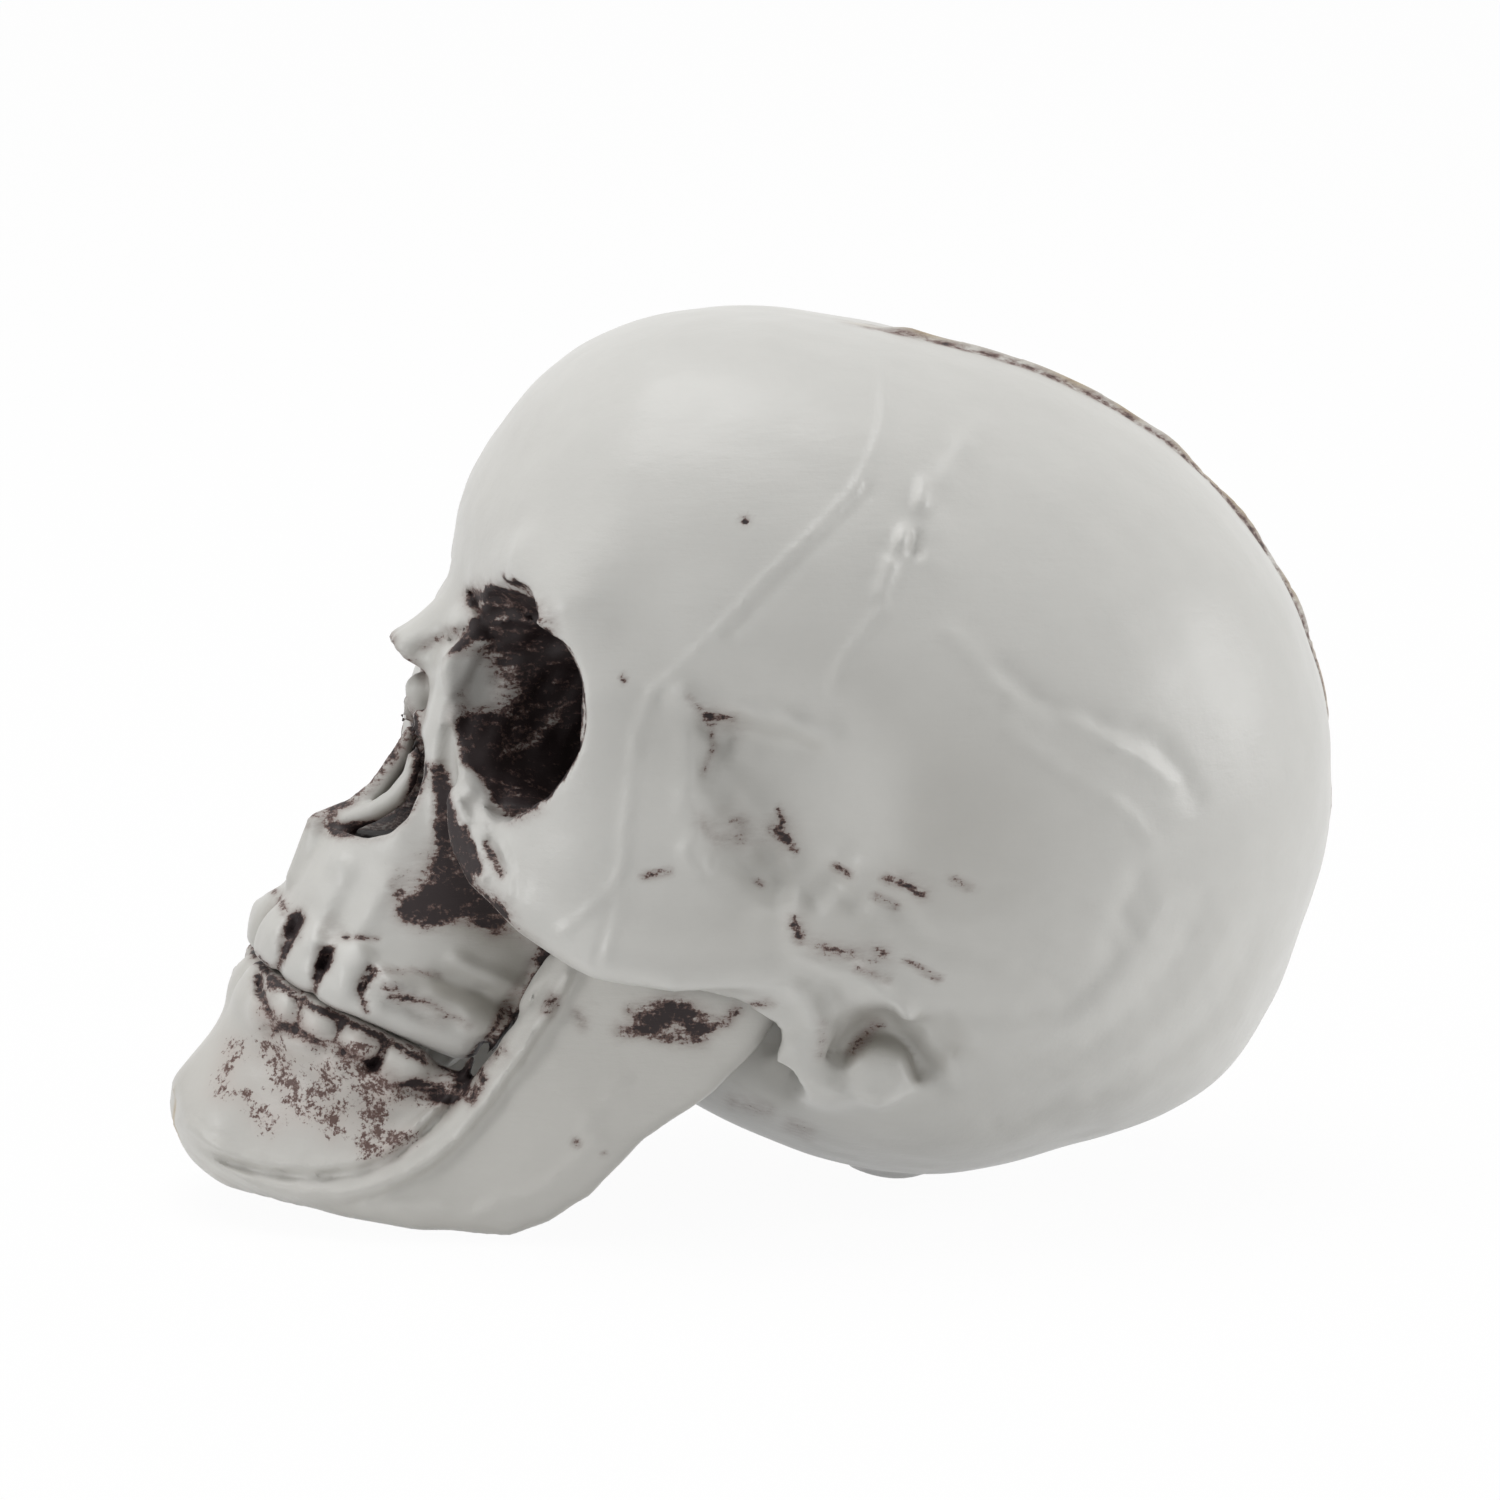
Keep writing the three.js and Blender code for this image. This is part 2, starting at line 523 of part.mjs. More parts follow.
// One vertex in each cell that the surface crosses, at the mean of its crossings, and one quad round each
// grid edge that the surface crosses. The grid starts across the middle plane, where its first layer counts
// as outside and so closes the form. At the end the points are thinned out where the surface is flattest.
async function surface(form, axes, points) {
  const [xs, ys, zs] = axes, size = axes.map((a) => a.length), [nx, ny, nz] = size;
  const strides = [ny * nz, nz, 1];
  const values = new Float64Array(nx * ny * nz);
  xs.forEach((x, i) => ys.forEach((y, j) => zs.forEach((z, k) => {
    const value = form(abs(x), y, z);
    values[i * strides[0] + j * strides[1] + k] = i ? value : max(value, FACE_CELL);
  })));
  unpinch(values, size);
  const index = new Int32Array(nx * ny * nz).fill(-1), positions = [], triangles = [];
  for (let i = 0; i < nx - 1; i++) for (let j = 0; j < ny - 1; j++) for (let k = 0; k < nz - 1; k++) {
    const at = i * strides[0] + j * strides[1] + k, here = [i, j, k], sum = [0, 0, 0];
    let crossings = 0;
    for (let axis = 0; axis < 3; axis++) for (let n = 0; n < 4; n++) {
      const [u, v] = [0, 1, 2].filter((a) => a !== axis);
      const from = [...here];
      from[u] += n & 1;
      from[v] += n >> 1;
      const a = from[0] * strides[0] + from[1] * strides[1] + from[2], b = a + strides[axis];
      if (values[a] < 0 === values[b] < 0) continue;
      const t = values[a] / (values[a] - values[b]);
      for (let m = 0; m < 3; m++) {
        sum[m] += axes[m][from[m]] + (m === axis ? t * (axes[m][from[m] + 1] - axes[m][from[m]]) : 0);
      }
      crossings++;
    }
    if (!crossings) continue;
    index[at] = positions.length / 3;
    positions.push(...sum.map((v) => v / crossings));
  }
  for (let i = 0; i < nx - 1; i++) for (let j = 1; j < ny - 1; j++) for (let k = 1; k < nz - 1; k++) {
    const at = i * strides[0] + j * strides[1] + k;
    for (let axis = 0; axis < 3; axis++) {
      if (values[at] < 0 === values[at + strides[axis]] < 0) continue;
      const u = strides[(axis + 1) % 3], v = strides[(axis + 2) % 3];
      const quad = [at - u - v, at - v, at, at - u].map((n) => index[n]);
      if (values[at] >= 0) quad.reverse();
      triangles.push(quad[0], quad[1], quad[2], quad[0], quad[2], quad[3]);
    }
  }
  for (let round = 0; round < RELAX_ROUNDS; round++) relax(form, positions, triangles);
  const geometry = new THREE.BufferGeometry();
  geometry.setAttribute("position", new THREE.Float32BufferAttribute(positions, 3));
  geometry.setIndex(triangles);
  return thinned(geometry, points);
}

const wasm = await Module();
wasm.setup();

function solid(geometry) {
  const merged = mergeVertices(bare(geometry));
  return new wasm.Manifold(new wasm.Mesh({
    numProp: 3,
    vertProperties: new Float32Array(merged.attributes.position.array),
    triVerts: new Uint32Array(merged.index.array),
  }));
}

function mesh(name, manifold, colour, roughness, metalness, mirrored = false) {
  const { vertProperties, triVerts } = manifold.getMesh();
  const geometry = new THREE.BufferGeometry();
  geometry.setAttribute("position", new THREE.Float32BufferAttribute(vertProperties, 3));
  geometry.setIndex(new THREE.Uint32BufferAttribute(triVerts, 1));
  if (mirrored) {
    geometry.scale(-1, 1, 1);
    geometry.index.array.reverse();
  }
  geometry.computeVertexNormals();
  const piece = new THREE.Mesh(geometry, new THREE.MeshStandardMaterial({ color: colour, roughness, metalness }));
  piece.name = name;
  return piece;
}

// The room that the grids and cutting solids span: forwards, backwards, up and sideways.
const REACH = OVERRUN + max(FACE_REACH, MOUTH_FORWARD + MOUTH_LENGTH, CHIN_FORWARD,
  CROWN_FORWARD + CROWN_HALF_LENGTH, FOREHEAD_FORWARD + FOREHEAD_HALF_LENGTH,
  NAPE_FORWARD + NAPE_HALF_LENGTH);
const BACK = OVERRUN + max(CROWN_HALF_LENGTH - CROWN_FORWARD, NAPE_HALF_LENGTH - NAPE_FORWARD,
  BASE_HALF_LENGTH + WALL, NUB_BACK + NUB_RADIUS * NUB_LENGTH_SHARE);
const TOP = OVERRUN + max(CROWN_UP + CROWN_HALF_HEIGHT, FOREHEAD_UP + FOREHEAD_HALF_HEIGHT);
const JAW_TOP = max(FACE_RISE * JAW_TOP_SHARE, HINGE_UP + KNUCKLE_RADIUS + OVERRUN);
const SIDE = OVERRUN + max(HALF_BREADTH, FOREHEAD_HALF_BREADTH, NAPE_HALF_BREADTH, MOUTH_HALF_BREADTH,
  BRANCH_OUT + BRANCH_THICKNESS / 2 + JAW_CLEARANCE + PIN_SEAT_DEPTH);

// Everything across the middle plane, to be cut away from a left half.
function farSide() {
  const box = new THREE.BoxGeometry(SIDE, REACH + BACK, TOP + CHIN_DROP + OVERRUN);
  box.translate(-SIDE / 2, (BACK - REACH) / 2, (TOP - CHIN_DROP - OVERRUN) / 2);
  return solid(box);
}

// The headed pin across the hinge, or the room for it with a clearance all round.
function hingePin(clearance) {
  const wallInside = BRANCH_OUT - BRANCH_THICKNESS / 2 - JAW_CLEARANCE - WALL;
  const headEnd = wallInside - PIN_HEAD_THICKNESS - clearance;
  const tip = BRANCH_OUT + BRANCH_THICKNESS / 2 + JAW_CLEARANCE + PIN_SEAT_DEPTH + clearance;
  const shaft = PIN_RADIUS + clearance, head = PIN_HEAD_RADIUS + clearance;
  const profile = [[0, headEnd], [head, headEnd], [head, wallInside + clearance], [shaft, wallInside + clearance],
    [shaft, tip], [0, tip]].map(([radius, along]) => new THREE.Vector2(radius, along));
  const pin = new THREE.LatheGeometry(profile, PIN_SIDES);
  pin.rotateZ(-Math.PI / 2);
  pin.translate(0, -HINGE_FORWARD, HINGE_UP);
  return solid(pin);
}

function teeth(up, shrink) {
  const rise = up ? 1 : -1;
  return Array.from({ length: TEETH_IN_ROW }, (_, i) => {
    const share = (i + 0.5) / TEETH_IN_ROW;
    const [x, y] = archPoint(MOUTH_HALF_BREADTH * shrink, MOUTH_LENGTH * shrink, share);
    const tooth = new RoundedBoxGeometry(TOOTH_BREADTH, TOOTH_DEPTH, TOOTH_HEIGHT, 1, TOOTH_ROUNDING);
    tooth.translate(0, TOOTH_DEPTH * TOOTH_SET_SHARE, 0);
    tooth.rotateZ(Math.atan2(x * MOUTH_LENGTH, -(y + MOUTH_FORWARD) * MOUTH_HALF_BREADTH));
    tooth.translate(x, y, BITE_UP + rise * (TOOTH_HEIGHT + TOOTH_GAP) / 2);
    return solid(tooth);
  });
}

const headLines = [
  lines(-OVERRUN, SIDE, SIDE, FACE_CELL, FACE_CELL),
  lines(-REACH, NUB_BACK + NUB_RADIUS, BACK, FACE_CELL, CROWN_CELL),
  lines(-OVERRUN, FACE_RISE, TOP, FACE_CELL, CROWN_CELL),
];
const cavityLines = [
  lines(-OVERRUN, SIDE, SIDE, CAVITY_CELL, CAVITY_CELL),
  lines(-REACH, BACK, BACK, CAVITY_CELL, CAVITY_CELL),
  lines(-OVERRUN, TOP, TOP, CAVITY_CELL, CAVITY_CELL),
];
const jawLines = [
  lines(-OVERRUN, SIDE, SIDE, FACE_CELL, FACE_CELL),
  lines(-REACH, 0, 0, FACE_CELL, FACE_CELL),
  lines(-CHIN_DROP - OVERRUN, TOP, JAW_TOP, FACE_CELL, FACE_CELL),
];

const head = headForm();
const cavity = overlap(grow(braincase(), -WALL), grow(head, -WALL), EDGE_BLEND);
const pinRoom = hingePin(PIN_CLEARANCE);

let headHalf = solid(await surface(head, headLines, HEAD_POINTS));
for (const tooth of teeth(true, 1)) headHalf = headHalf.add(tooth);
const hollow = solid(await surface(cavity, cavityLines, CAVITY_POINTS));
headHalf = headHalf.subtract(hollow).subtract(pinRoom).subtract(farSide());

let jawHalf = solid(await surface(jawForm(), jawLines, JAW_POINTS));
for (const tooth of teeth(false, LOWER_ARCH_SHARE)) jawHalf = jawHalf.add(tooth);
jawHalf = jawHalf.subtract(pinRoom).subtract(farSide());

const skull = new THREE.Group();
skull.rotation.x = -REST_TILT;
for (const [side, mirrored] of [["left", false], ["right", true]]) {
  skull.add(mesh("cranium_" + side + "_shell", headHalf, BONE, BONE_ROUGHNESS, 0, mirrored));
  skull.add(mesh("jaw_" + side + "_half", jawHalf, JAW_BONE, BONE_ROUGHNESS, 0, mirrored));
  skull.add(mesh("jaw_pivot_pin_" + side, hingePin(0), PIN_METAL, PIN_ROUGHNESS, 1, mirrored));
}

// The origin is the middle of the footprint, on the surface that the skull stands on.
const part = new THREE.Group();
part.add(skull);
part.updateMatrixWorld(true);
const bounds = new THREE.Box3().setFromObject(part, true);
const middle = bounds.getCenter(new THREE.Vector3());
skull.position.set(-middle.x, -middle.y, -bounds.min.z);

export default part;
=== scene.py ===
"""A small moulded plastic skull decoration with a hinged jaw, as a Blender add-on.

Every form is drawn level, in the head's own frame: x to the skull's left, y backwards, z up, with y = 0 at
the ear holes and z = 0 just under the bite. A form is a function of points p = (x, y, z) that gives the
distance to its surface, below zero inside. The finished meshes are tipped back to the resting pose of the
frame.
"""
import itertools
import json
import math

import bpy
import numpy as np
from bpy.props import FloatProperty, FloatVectorProperty, PointerProperty
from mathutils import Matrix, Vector

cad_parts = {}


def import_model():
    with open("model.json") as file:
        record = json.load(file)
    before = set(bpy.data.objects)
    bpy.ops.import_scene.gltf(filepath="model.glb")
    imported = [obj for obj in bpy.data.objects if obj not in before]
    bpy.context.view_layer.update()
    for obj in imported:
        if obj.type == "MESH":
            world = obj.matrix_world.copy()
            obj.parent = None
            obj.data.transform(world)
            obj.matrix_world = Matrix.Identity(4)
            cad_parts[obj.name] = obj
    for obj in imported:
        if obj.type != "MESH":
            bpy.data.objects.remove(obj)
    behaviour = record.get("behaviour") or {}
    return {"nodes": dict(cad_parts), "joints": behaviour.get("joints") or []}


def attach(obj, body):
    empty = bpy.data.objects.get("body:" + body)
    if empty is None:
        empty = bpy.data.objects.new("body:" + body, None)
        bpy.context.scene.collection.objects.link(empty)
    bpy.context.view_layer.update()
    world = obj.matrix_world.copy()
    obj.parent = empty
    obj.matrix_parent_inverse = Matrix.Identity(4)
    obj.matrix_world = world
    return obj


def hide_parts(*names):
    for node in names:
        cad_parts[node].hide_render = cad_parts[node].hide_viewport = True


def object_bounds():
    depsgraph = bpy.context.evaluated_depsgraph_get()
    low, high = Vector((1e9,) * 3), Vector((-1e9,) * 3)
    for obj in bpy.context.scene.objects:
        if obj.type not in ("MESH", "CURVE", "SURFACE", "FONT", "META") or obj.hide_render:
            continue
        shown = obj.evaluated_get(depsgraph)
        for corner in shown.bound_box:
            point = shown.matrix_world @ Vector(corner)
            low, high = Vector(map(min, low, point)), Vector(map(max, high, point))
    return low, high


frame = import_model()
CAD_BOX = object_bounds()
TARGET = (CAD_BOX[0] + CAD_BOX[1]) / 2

bl_info = {
    "name": "Moulded Skull",
    "version": (1, 0, 0),
    "blender": (4, 5, 0),
    "location": "View3D > Sidebar > Skull",
    "description": "Builds a small moulded skull decoration with a hinged jaw",
    "category": "Add Mesh",
}

MM = 0.001


# Properties

def size(name, description, millimetres):
    """A length property, given in millimetres and kept in metres."""
    return FloatProperty(name=name, description=description, default=millimetres * MM, unit="LENGTH",
                         precision=5)


def angle(name, description, degrees):
    """An angle property, given in degrees and kept in radians."""
    return FloatProperty(name=name, description=description, default=math.radians(degrees), unit="ROTATION")


def number(name, description, value):
    """A plain number: a share, or in the unit that its description names."""
    return FloatProperty(name=name, description=description, default=value)


def colour(name, description, value):
    """A colour property."""
    return FloatVectorProperty(name=name, description=description, default=value, size=4, subtype="COLOR")


class HeadSizes(bpy.types.PropertyGroup):
    """The three scales of the tables of shares, and the braincase."""
    half_breadth: size("Half breadth", "Middle plane to the widest point over the ears", 24.6)
    face_reach: size("Face reach", "Ear holes to the front teeth", 38)
    face_rise: size("Face rise", "Bite to the brow", 36)
    crown_half_length: size("Crown half length", "Half length of the crown lobe", 30.3)
    crown_half_height: size("Crown half height", "Half height of the crown lobe", 27.2)
    crown_forward: size("Crown forward", "Crown's middle before the ear holes", 4)
    crown_up: size("Crown up", "Crown's middle above the bite", 30.9)
    forehead_half_breadth: size("Forehead half breadth", "Half breadth of the forehead lobe", 19)
    forehead_half_length: size("Forehead half length", "Half length of the forehead lobe", 15.2)
    forehead_half_height: size("Forehead half height", "Half height of the forehead lobe", 13.5)
    forehead_forward: size("Forehead forward", "Forehead's middle before the ear holes", 20.9)
    forehead_up: size("Forehead up", "Forehead's middle above the bite", 39.4)
    nape_half_breadth: size("Nape half breadth", "Half breadth of the nape lobe", 19)
    nape_half_length: size("Nape half length", "Half length of the nape lobe", 27)
    nape_half_height: size("Nape half height", "Half height of the nape lobe", 9.5)
    nape_forward: size("Nape forward", "Nape's middle before the ear holes", 3.3)
    nape_up: size("Nape up", "Nape's middle above the bite", 22.1)
    base_half_breadth: size("Base half breadth", "Half breadth of the base lobe", 17)
    base_half_length: size("Base half length", "Half length of the base lobe", 12.5)
    base_half_height: size("Base half height", "Half height of the base lobe", 7.3)
    base_up: size("Base up", "Base lobe's middle above the bite", 13)
    wall: size("Wall", "Thickness of the moulded shell", 1.5)
    nub_radius: size("Nub radius", "Radius of the nub that the head rests on", 1.6)
    nub_back: size("Nub back", "Nub behind the ear holes", 7.4)
    nub_up: size("Nub up", "Nub's middle above the bite", 5.84)
    spine_half_breadth: size("Spine hole half breadth", "Half breadth of the hole in the base", 3.6)
    spine_half_length: size("Spine hole half length", "Half length of the hole in the base", 4.2)
    spine_back: size("Spine hole back", "Spine hole behind the ear holes", 0.6)


class FaceSizes(bpy.types.PropertyGroup):
    """Temple, cheek, eye socket and nose."""
    temple_half_breadth: size("Temple half breadth", "Half breadth of the temple hollow's cutter", 9.8)
    temple_half_length: size("Temple half length", "Half length of the temple hollow's cutter", 9)
    temple_half_height: size("Temple half height", "Half height of the temple hollow's cutter", 9.5)
    brow_radius: size("Brow radius", "Radius of the brow ridge", 2.6)
    cheek_thickness: size("Cheek thickness", "Half thickness of the cheek plate", 4.4)
    cheek_half_length: size("Cheek half length", "Half length of the cheek plate", 8.6)
    cheek_half_height: size("Cheek half height", "Half height of the cheek plate", 8)
    cheek_turn: angle("Cheek turn", "Turn of the cheek plate towards the face", -20)
    cheek_edge_radius: size("Cheek edge radius", "Radius of the arch along the cheek's lower edge", 1.8)
    post_radius: size("Post radius", "Radius of the post beside the eye socket", 3)
    socket_mouth_radius: size("Socket mouth radius", "Radius of the eye socket at its mouth", 6.5)
    socket_back_radius: size("Socket back radius", "Radius of the eye socket at its back", 4.6)
    socket_depth: size("Socket depth", "Depth of the eye socket", 15)
    socket_forward: size("Socket forward", "Mouth of the eye socket before the ear holes", 35.5)
    socket_up: size("Socket up", "Middle of the eye socket above the bite", 25.7)
    socket_out: size("Socket out", "Middle of the eye socket from the middle plane", 12.4)
    rim_radius: size("Rim radius", "Radius of the rim round the eye socket", 2)
    nose_half_breadth: size("Nose half breadth", "Half breadth of the nose opening", 4.7)
    nose_half_height: size("Nose half height", "Half height of the nose opening's lower lobe", 4.4)
    nose_depth: size("Nose depth", "Depth of the nose opening", 8)
    nose_up: size("Nose up", "Middle of the lower lobe above the bite", 15.4)
    nose_bone_radius: size("Nose bone radius", "Radius of the bridge of the nose", 2.6)
    septum_radius: size("Septum radius", "Radius of the wall inside the nose opening", 0.9)
    groove_radius: size("Groove radius", "Radius of the groove beside the nose", 2.6)


class MouthSizes(bpy.types.PropertyGroup):
    """Upper jaw, palate and both rows of teeth."""
    bite_up: size("Bite up", "Height of the bite", 1)
    half_breadth: size("Mouth half breadth", "Half breadth of the dental arch", 10.7)
    length: size("Mouth length", "Length of the arch's curved front", 12.7)
    forward: size("Mouth forward", "Start of the arch's curve before the ear holes", 25)
    gum_rise: size("Gum rise", "Height of the gum line over the bite", 2.6)
    top: size("Mouth top", "Top of the upper jaw's block", 17.5)
    rear: size("Mouth rear", "Rear face of the upper jaw before the ear holes", 21.6)
    tooth_gap: size("Tooth gap", "Gap between the two rows of teeth", 0.35)


class JawSizes(bpy.types.PropertyGroup):
    """Lower jaw, its branch and the hinge."""
    chin_forward: size("Chin forward", "Front of the chin before the ear holes", 37.3)
    chin_drop: size("Chin drop", "Bottom of the chin under the bite", 13)
    thickness: size("Jaw thickness", "Thickness of the jaw's body", 4)
    spread_radius: size("Spread radius", "Radius at the tip of the jaw's parabola", 6.4)
    branch_thickness: size("Branch thickness", "Thickness of the rising branch", 3.4)
    branch_rounding: size("Branch rounding", "Rounding of the branch's outline", 0.8)
    branch_out: size("Branch out", "Middle of the branch from the middle plane", 17.7)
    branch_lean_below: size("Branch lean below", "Height under which the branch leans inwards", 8.5)
    hinge_forward: size("Hinge forward", "Hinge before the ear holes", 9.2)
    hinge_up: size("Hinge up", "Hinge above the bite", 18.3)
    knuckle_radius: size("Knuckle radius", "Radius of the branch's eye", 1.7)
    pin_radius: size("Pin radius", "Radius of the hinge pin", 0.8)
    pin_clearance: size("Pin clearance", "Clearance round the pin", 0.3)
    clearance: size("Jaw clearance", "Clearance between the branch and the head", 0.7)
    opening: angle("Opening", "Angle that the jaw opens", 25)


class MeshSizes(bpy.types.PropertyGroup):
    """Softness of the joins between forms, and the mesh's cells."""
    soft_blend: size("Soft blend", "Blend between the lobes of the braincase", 8.5)
    body_blend: size("Body blend", "Blend between large forms", 5)
    form_blend: size("Form blend", "Blend between forms", 3)
    edge_blend: size("Edge blend", "Blend along edges", 1.8)
    rim_blend: size("Rim blend", "Blend along the eye socket's rim", 0.6)
    tooth_blend: size("Tooth blend", "Blend between a tooth and its gum", 0.7)
    cell: size("Cell", "Size of a mesh cell on the face", 0.32)
    wide_cell: size("Wide cell", "Size of a mesh cell on the braincase", 0.52)
    face_rear: size("Face rear", "Where the face's cells end, before the ear holes", 10)
    face_top: size("Face top", "Where the face's cells end, above the bite", 37)
    margin: size("Margin", "Room left round a form in its grid", 2)


class StageSizes(bpy.types.PropertyGroup):
    """Camera, floor and lights."""
    azimuth: angle("Azimuth", "Bearing of the camera, 0 in front of the face", 81.5)
    elevation: angle("Elevation", "Height of the camera over the horizon", 12)
    distance: size("Distance", "Camera to skull", 1200)
    lens: number("Lens", "Focal length in millimetres", 430)
    floor: size("Floor", "Side of the floor", 6000)
    floor_white: number("Floor white", "Share of plain white in the floor that the camera sees", 0.96)
    dome_strength: number("Dome strength", "Strength of the even light all round", 0.34)
    light_distance: size("Light distance", "Lights to skull", 600)
    top_power: number("Top power", "Power of the light overhead in watts", 2.5)
    front_power: number("Front power", "Power of the light on the face in watts", 0.7)
    back_power: number("Back power", "Power of the light behind in watts", 1.7)


class SkullSettings(bpy.types.PropertyGroup):
    """Everything that the operators read."""
    head: PointerProperty(type=HeadSizes)
    face: PointerProperty(type=FaceSizes)
    mouth: PointerProperty(type=MouthSizes)
    jaw: PointerProperty(type=JawSizes)
    mesh: PointerProperty(type=MeshSizes)
    stage: PointerProperty(type=StageSizes)
    rest_tilt: angle("Rest tilt", "Angle that the head is tipped back", 25)
    bone: colour("Bone", "Colour of the cranium's plastic", (0.61, 0.605, 0.58, 1))
    jaw_bone: colour("Jaw bone", "Colour of the jaw's plastic", (0.59, 0.58, 0.55, 1))
    steel: colour("Steel", "Colour of the hinge pins", (0.49, 0.5, 0.52, 1))


# Tables of shares. Each row is a point as shares of the half breadth, the face reach (forwards) and the face
# rise (up), then a share of the radius that the chain of points carries.
BROW_SHARES = [
    (0, 0.85, 0.945, 0.95), (0.325, 0.838, 0.983, 0.96), (0.569, 0.785, 0.961, 0.88),
]
NOSE_BONE_SHARES = [
    (0, 0.838, 0.867, 0.9), (0, 0.862, 0.778, 0.8), (0.02, 0.965, 0.668, 0.62),
]
CHEEK_EDGE_SHARES = [
    (0.366, 0.816, 0.461, 0.72), (0.528, 0.747, 0.397, 0.83), (0.691, 0.658, 0.378, 0.94),
    (0.821, 0.539, 0.375, 1), (0.87, 0.421, 0.405, 0.94), (0.88, 0.3, 0.478, 1.05),
    (0.865, 0.216, 0.54, 1.15),
]
POST_SHARES = [
    (0.675, 0.684, 0.833, 0.87), (0.675, 0.647, 0.667, 1), (0.675, 0.605, 0.528, 1),
]
RIM_SHARES = [
    (0.203, 0.875, 0.872, 0.8), (0.467, 0.879, 0.95, 0.95), (0.642, 0.811, 0.906, 1),
    (0.724, 0.726, 0.789, 1), (0.707, 0.674, 0.639, 1), (0.585, 0.689, 0.489, 0.85),
    (0.427, 0.758, 0.45, 0.7), (0.301, 0.816, 0.483, 0.6), (0.252, 0.835, 0.572, 0.55),
    (0.195, 0.86, 0.681, 0.6), (0.175, 0.868, 0.778, 0.75),
]
NOSE_SIDE_SHARES = [
    (0.211, 0.84, 0.417, 0.75), (0.187, 0.863, 0.583, 0.65), (0.171, 0.885, 0.75, 0.8),
]
SEPTUM_SHARES = [
    (0, 0.96, 0.2, 1.5), (0, 0.98, 0.3, 1), (0, 0.935, 0.35, 0.9), (0, 0.91, 0.405, 0.85),
    (0, 0.9, 0.47, 0.8), (0, 0.888, 0.55, 0.9), (0, 0.915, 0.61, 1.3),
]
GROOVE_SHARES = [(0.252, 0.921, 0.625, 0.35), (0.309, 0.911, 0.5, 0.73), (0.398, 0.874, 0.375, 1)]
# Small forms: the centre's place and, in the longer rows, the half breadth, half length and half height, as
# shares of the same three scales.
CHEEK_PLACE_SHARES = (0.7, 0.54, 0.57)
TEMPLE_PLACE_SHARES = (1.203, 0.434, 0.75)
JAW_CORE_SHARES = (0, 0.684, 0.528, 0.283, 0.21, 0.224)
THROAT_SHARES = (0, 0.397, 0.359, 0.326, 0.264, 0.165)
PALATE_SHARES = (0, 0.632, 0.083, 0.276, 0.253, 0.117)
SOCKET_FLARE_SHARES = (0.554, 0.827, 0.69, 0.22, 0.217, 0.203)
NOSE_TOP_SHARES = (0, 1, 0.55, 0.134, 0.179, 0.116)
CHIN_BOSS_SHARES = (0, 0.918, -0.267, 0.264, 0.079, 0.089)
# The nub's half length in its radii.
NUB_LENGTH_SHARE = 1.5
# The upper jaw's top, as shares of the dental arch's half breadth and length.
HIGH_ARCH_SHARES = (0.72, 0.87)
# The lower dental arch, as a share of the upper one.
LOWER_ARCH_SHARE = 0.96
# The back of the eye socket, as shares of its mouth's place outwards and upwards.
SOCKET_BACK_SHARES = (0.65, 0.955)
# The share of the chin's drop over which the dental arch turns into the jaw's parabola.
CHIN_FADE_SHARE = 0.654
# The top of the branch's room, as a share of the face rise.
ROOM_TOP_SHARE = 0.6
# Side outline of the jaw's branch, as shares of the face reach (forwards) and the face rise (up).
BRANCH_OUTLINE_SHARES = [
    (0.89, -0.33), (0.75, -0.3), (0.592, -0.253), (0.447, -0.2), (0.4, -0.144), (0.358, -0.069),
    (0.316, 0.067), (0.245, 0.203), (0.205, 0.319), (0.19, 0.43), (0.195, 0.52), (0.232, 0.545),
    (0.275, 0.525), (0.31, 0.41), (0.382, 0.356), (0.463, 0.372), (0.495, 0.428), (0.526, 0.406),
    (0.545, 0.278), (0.568, 0.083), (0.6, -0.083), (0.66, -0.167), (0.84, -0.21),
]
# Roundness of the dental arch, and how far a form leans per unit of height or depth.
ARCH_POWER = 2.2
BRANCH_LEAN = 0.08
UPPER_JAW_LEAN = 0.12
LOWER_EDGE_SLOPE = 0.33

# Teeth that stand apart: centre, half breadth and half height in millimetres, and the turn in degrees. Behind
# them the blocks, each row a point and a radius in millimetres.
UPPER_TEETH = [
    (2.6, -36.6, 3.1, 2.9, 2.3, 8), (6, -35, 3, 2.4, 2.2, 36), (8.4, -32.9, 3.2, 2.2, 2.3, 52),
]
LOWER_TEETH = [
    (2.1, -35.8, -0.8, 2.4, 1.9, 8), (5.1, -35.2, -0.8, 1.85, 1.9, 34), (7.15, -33.35, -0.7, 1.95, 1.9, 54),
    (8.7, -30.55, -0.7, 1.9, 1.8, 67), (9.5, -27.5, -0.9, 1.85, 1.7, 83),
]
UPPER_BLOCK = [(8.9, -30.6, 3.2, 2.15), (8.9, -28.2, 3.3, 2.25), (8.8, -24.7, 3.5, 2.35)]
LOWER_BLOCK = [(9, -25.4, -1.5, 1.7), (9.2, -23.5, -1.4, 1.9), (9.8, -21.2, -1.2, 2)]
# Roundness of a tooth, and its half depth in millimetres.
TOOTH_POWER, TOOTH_HALF_DEPTH = 2.4, 1.7

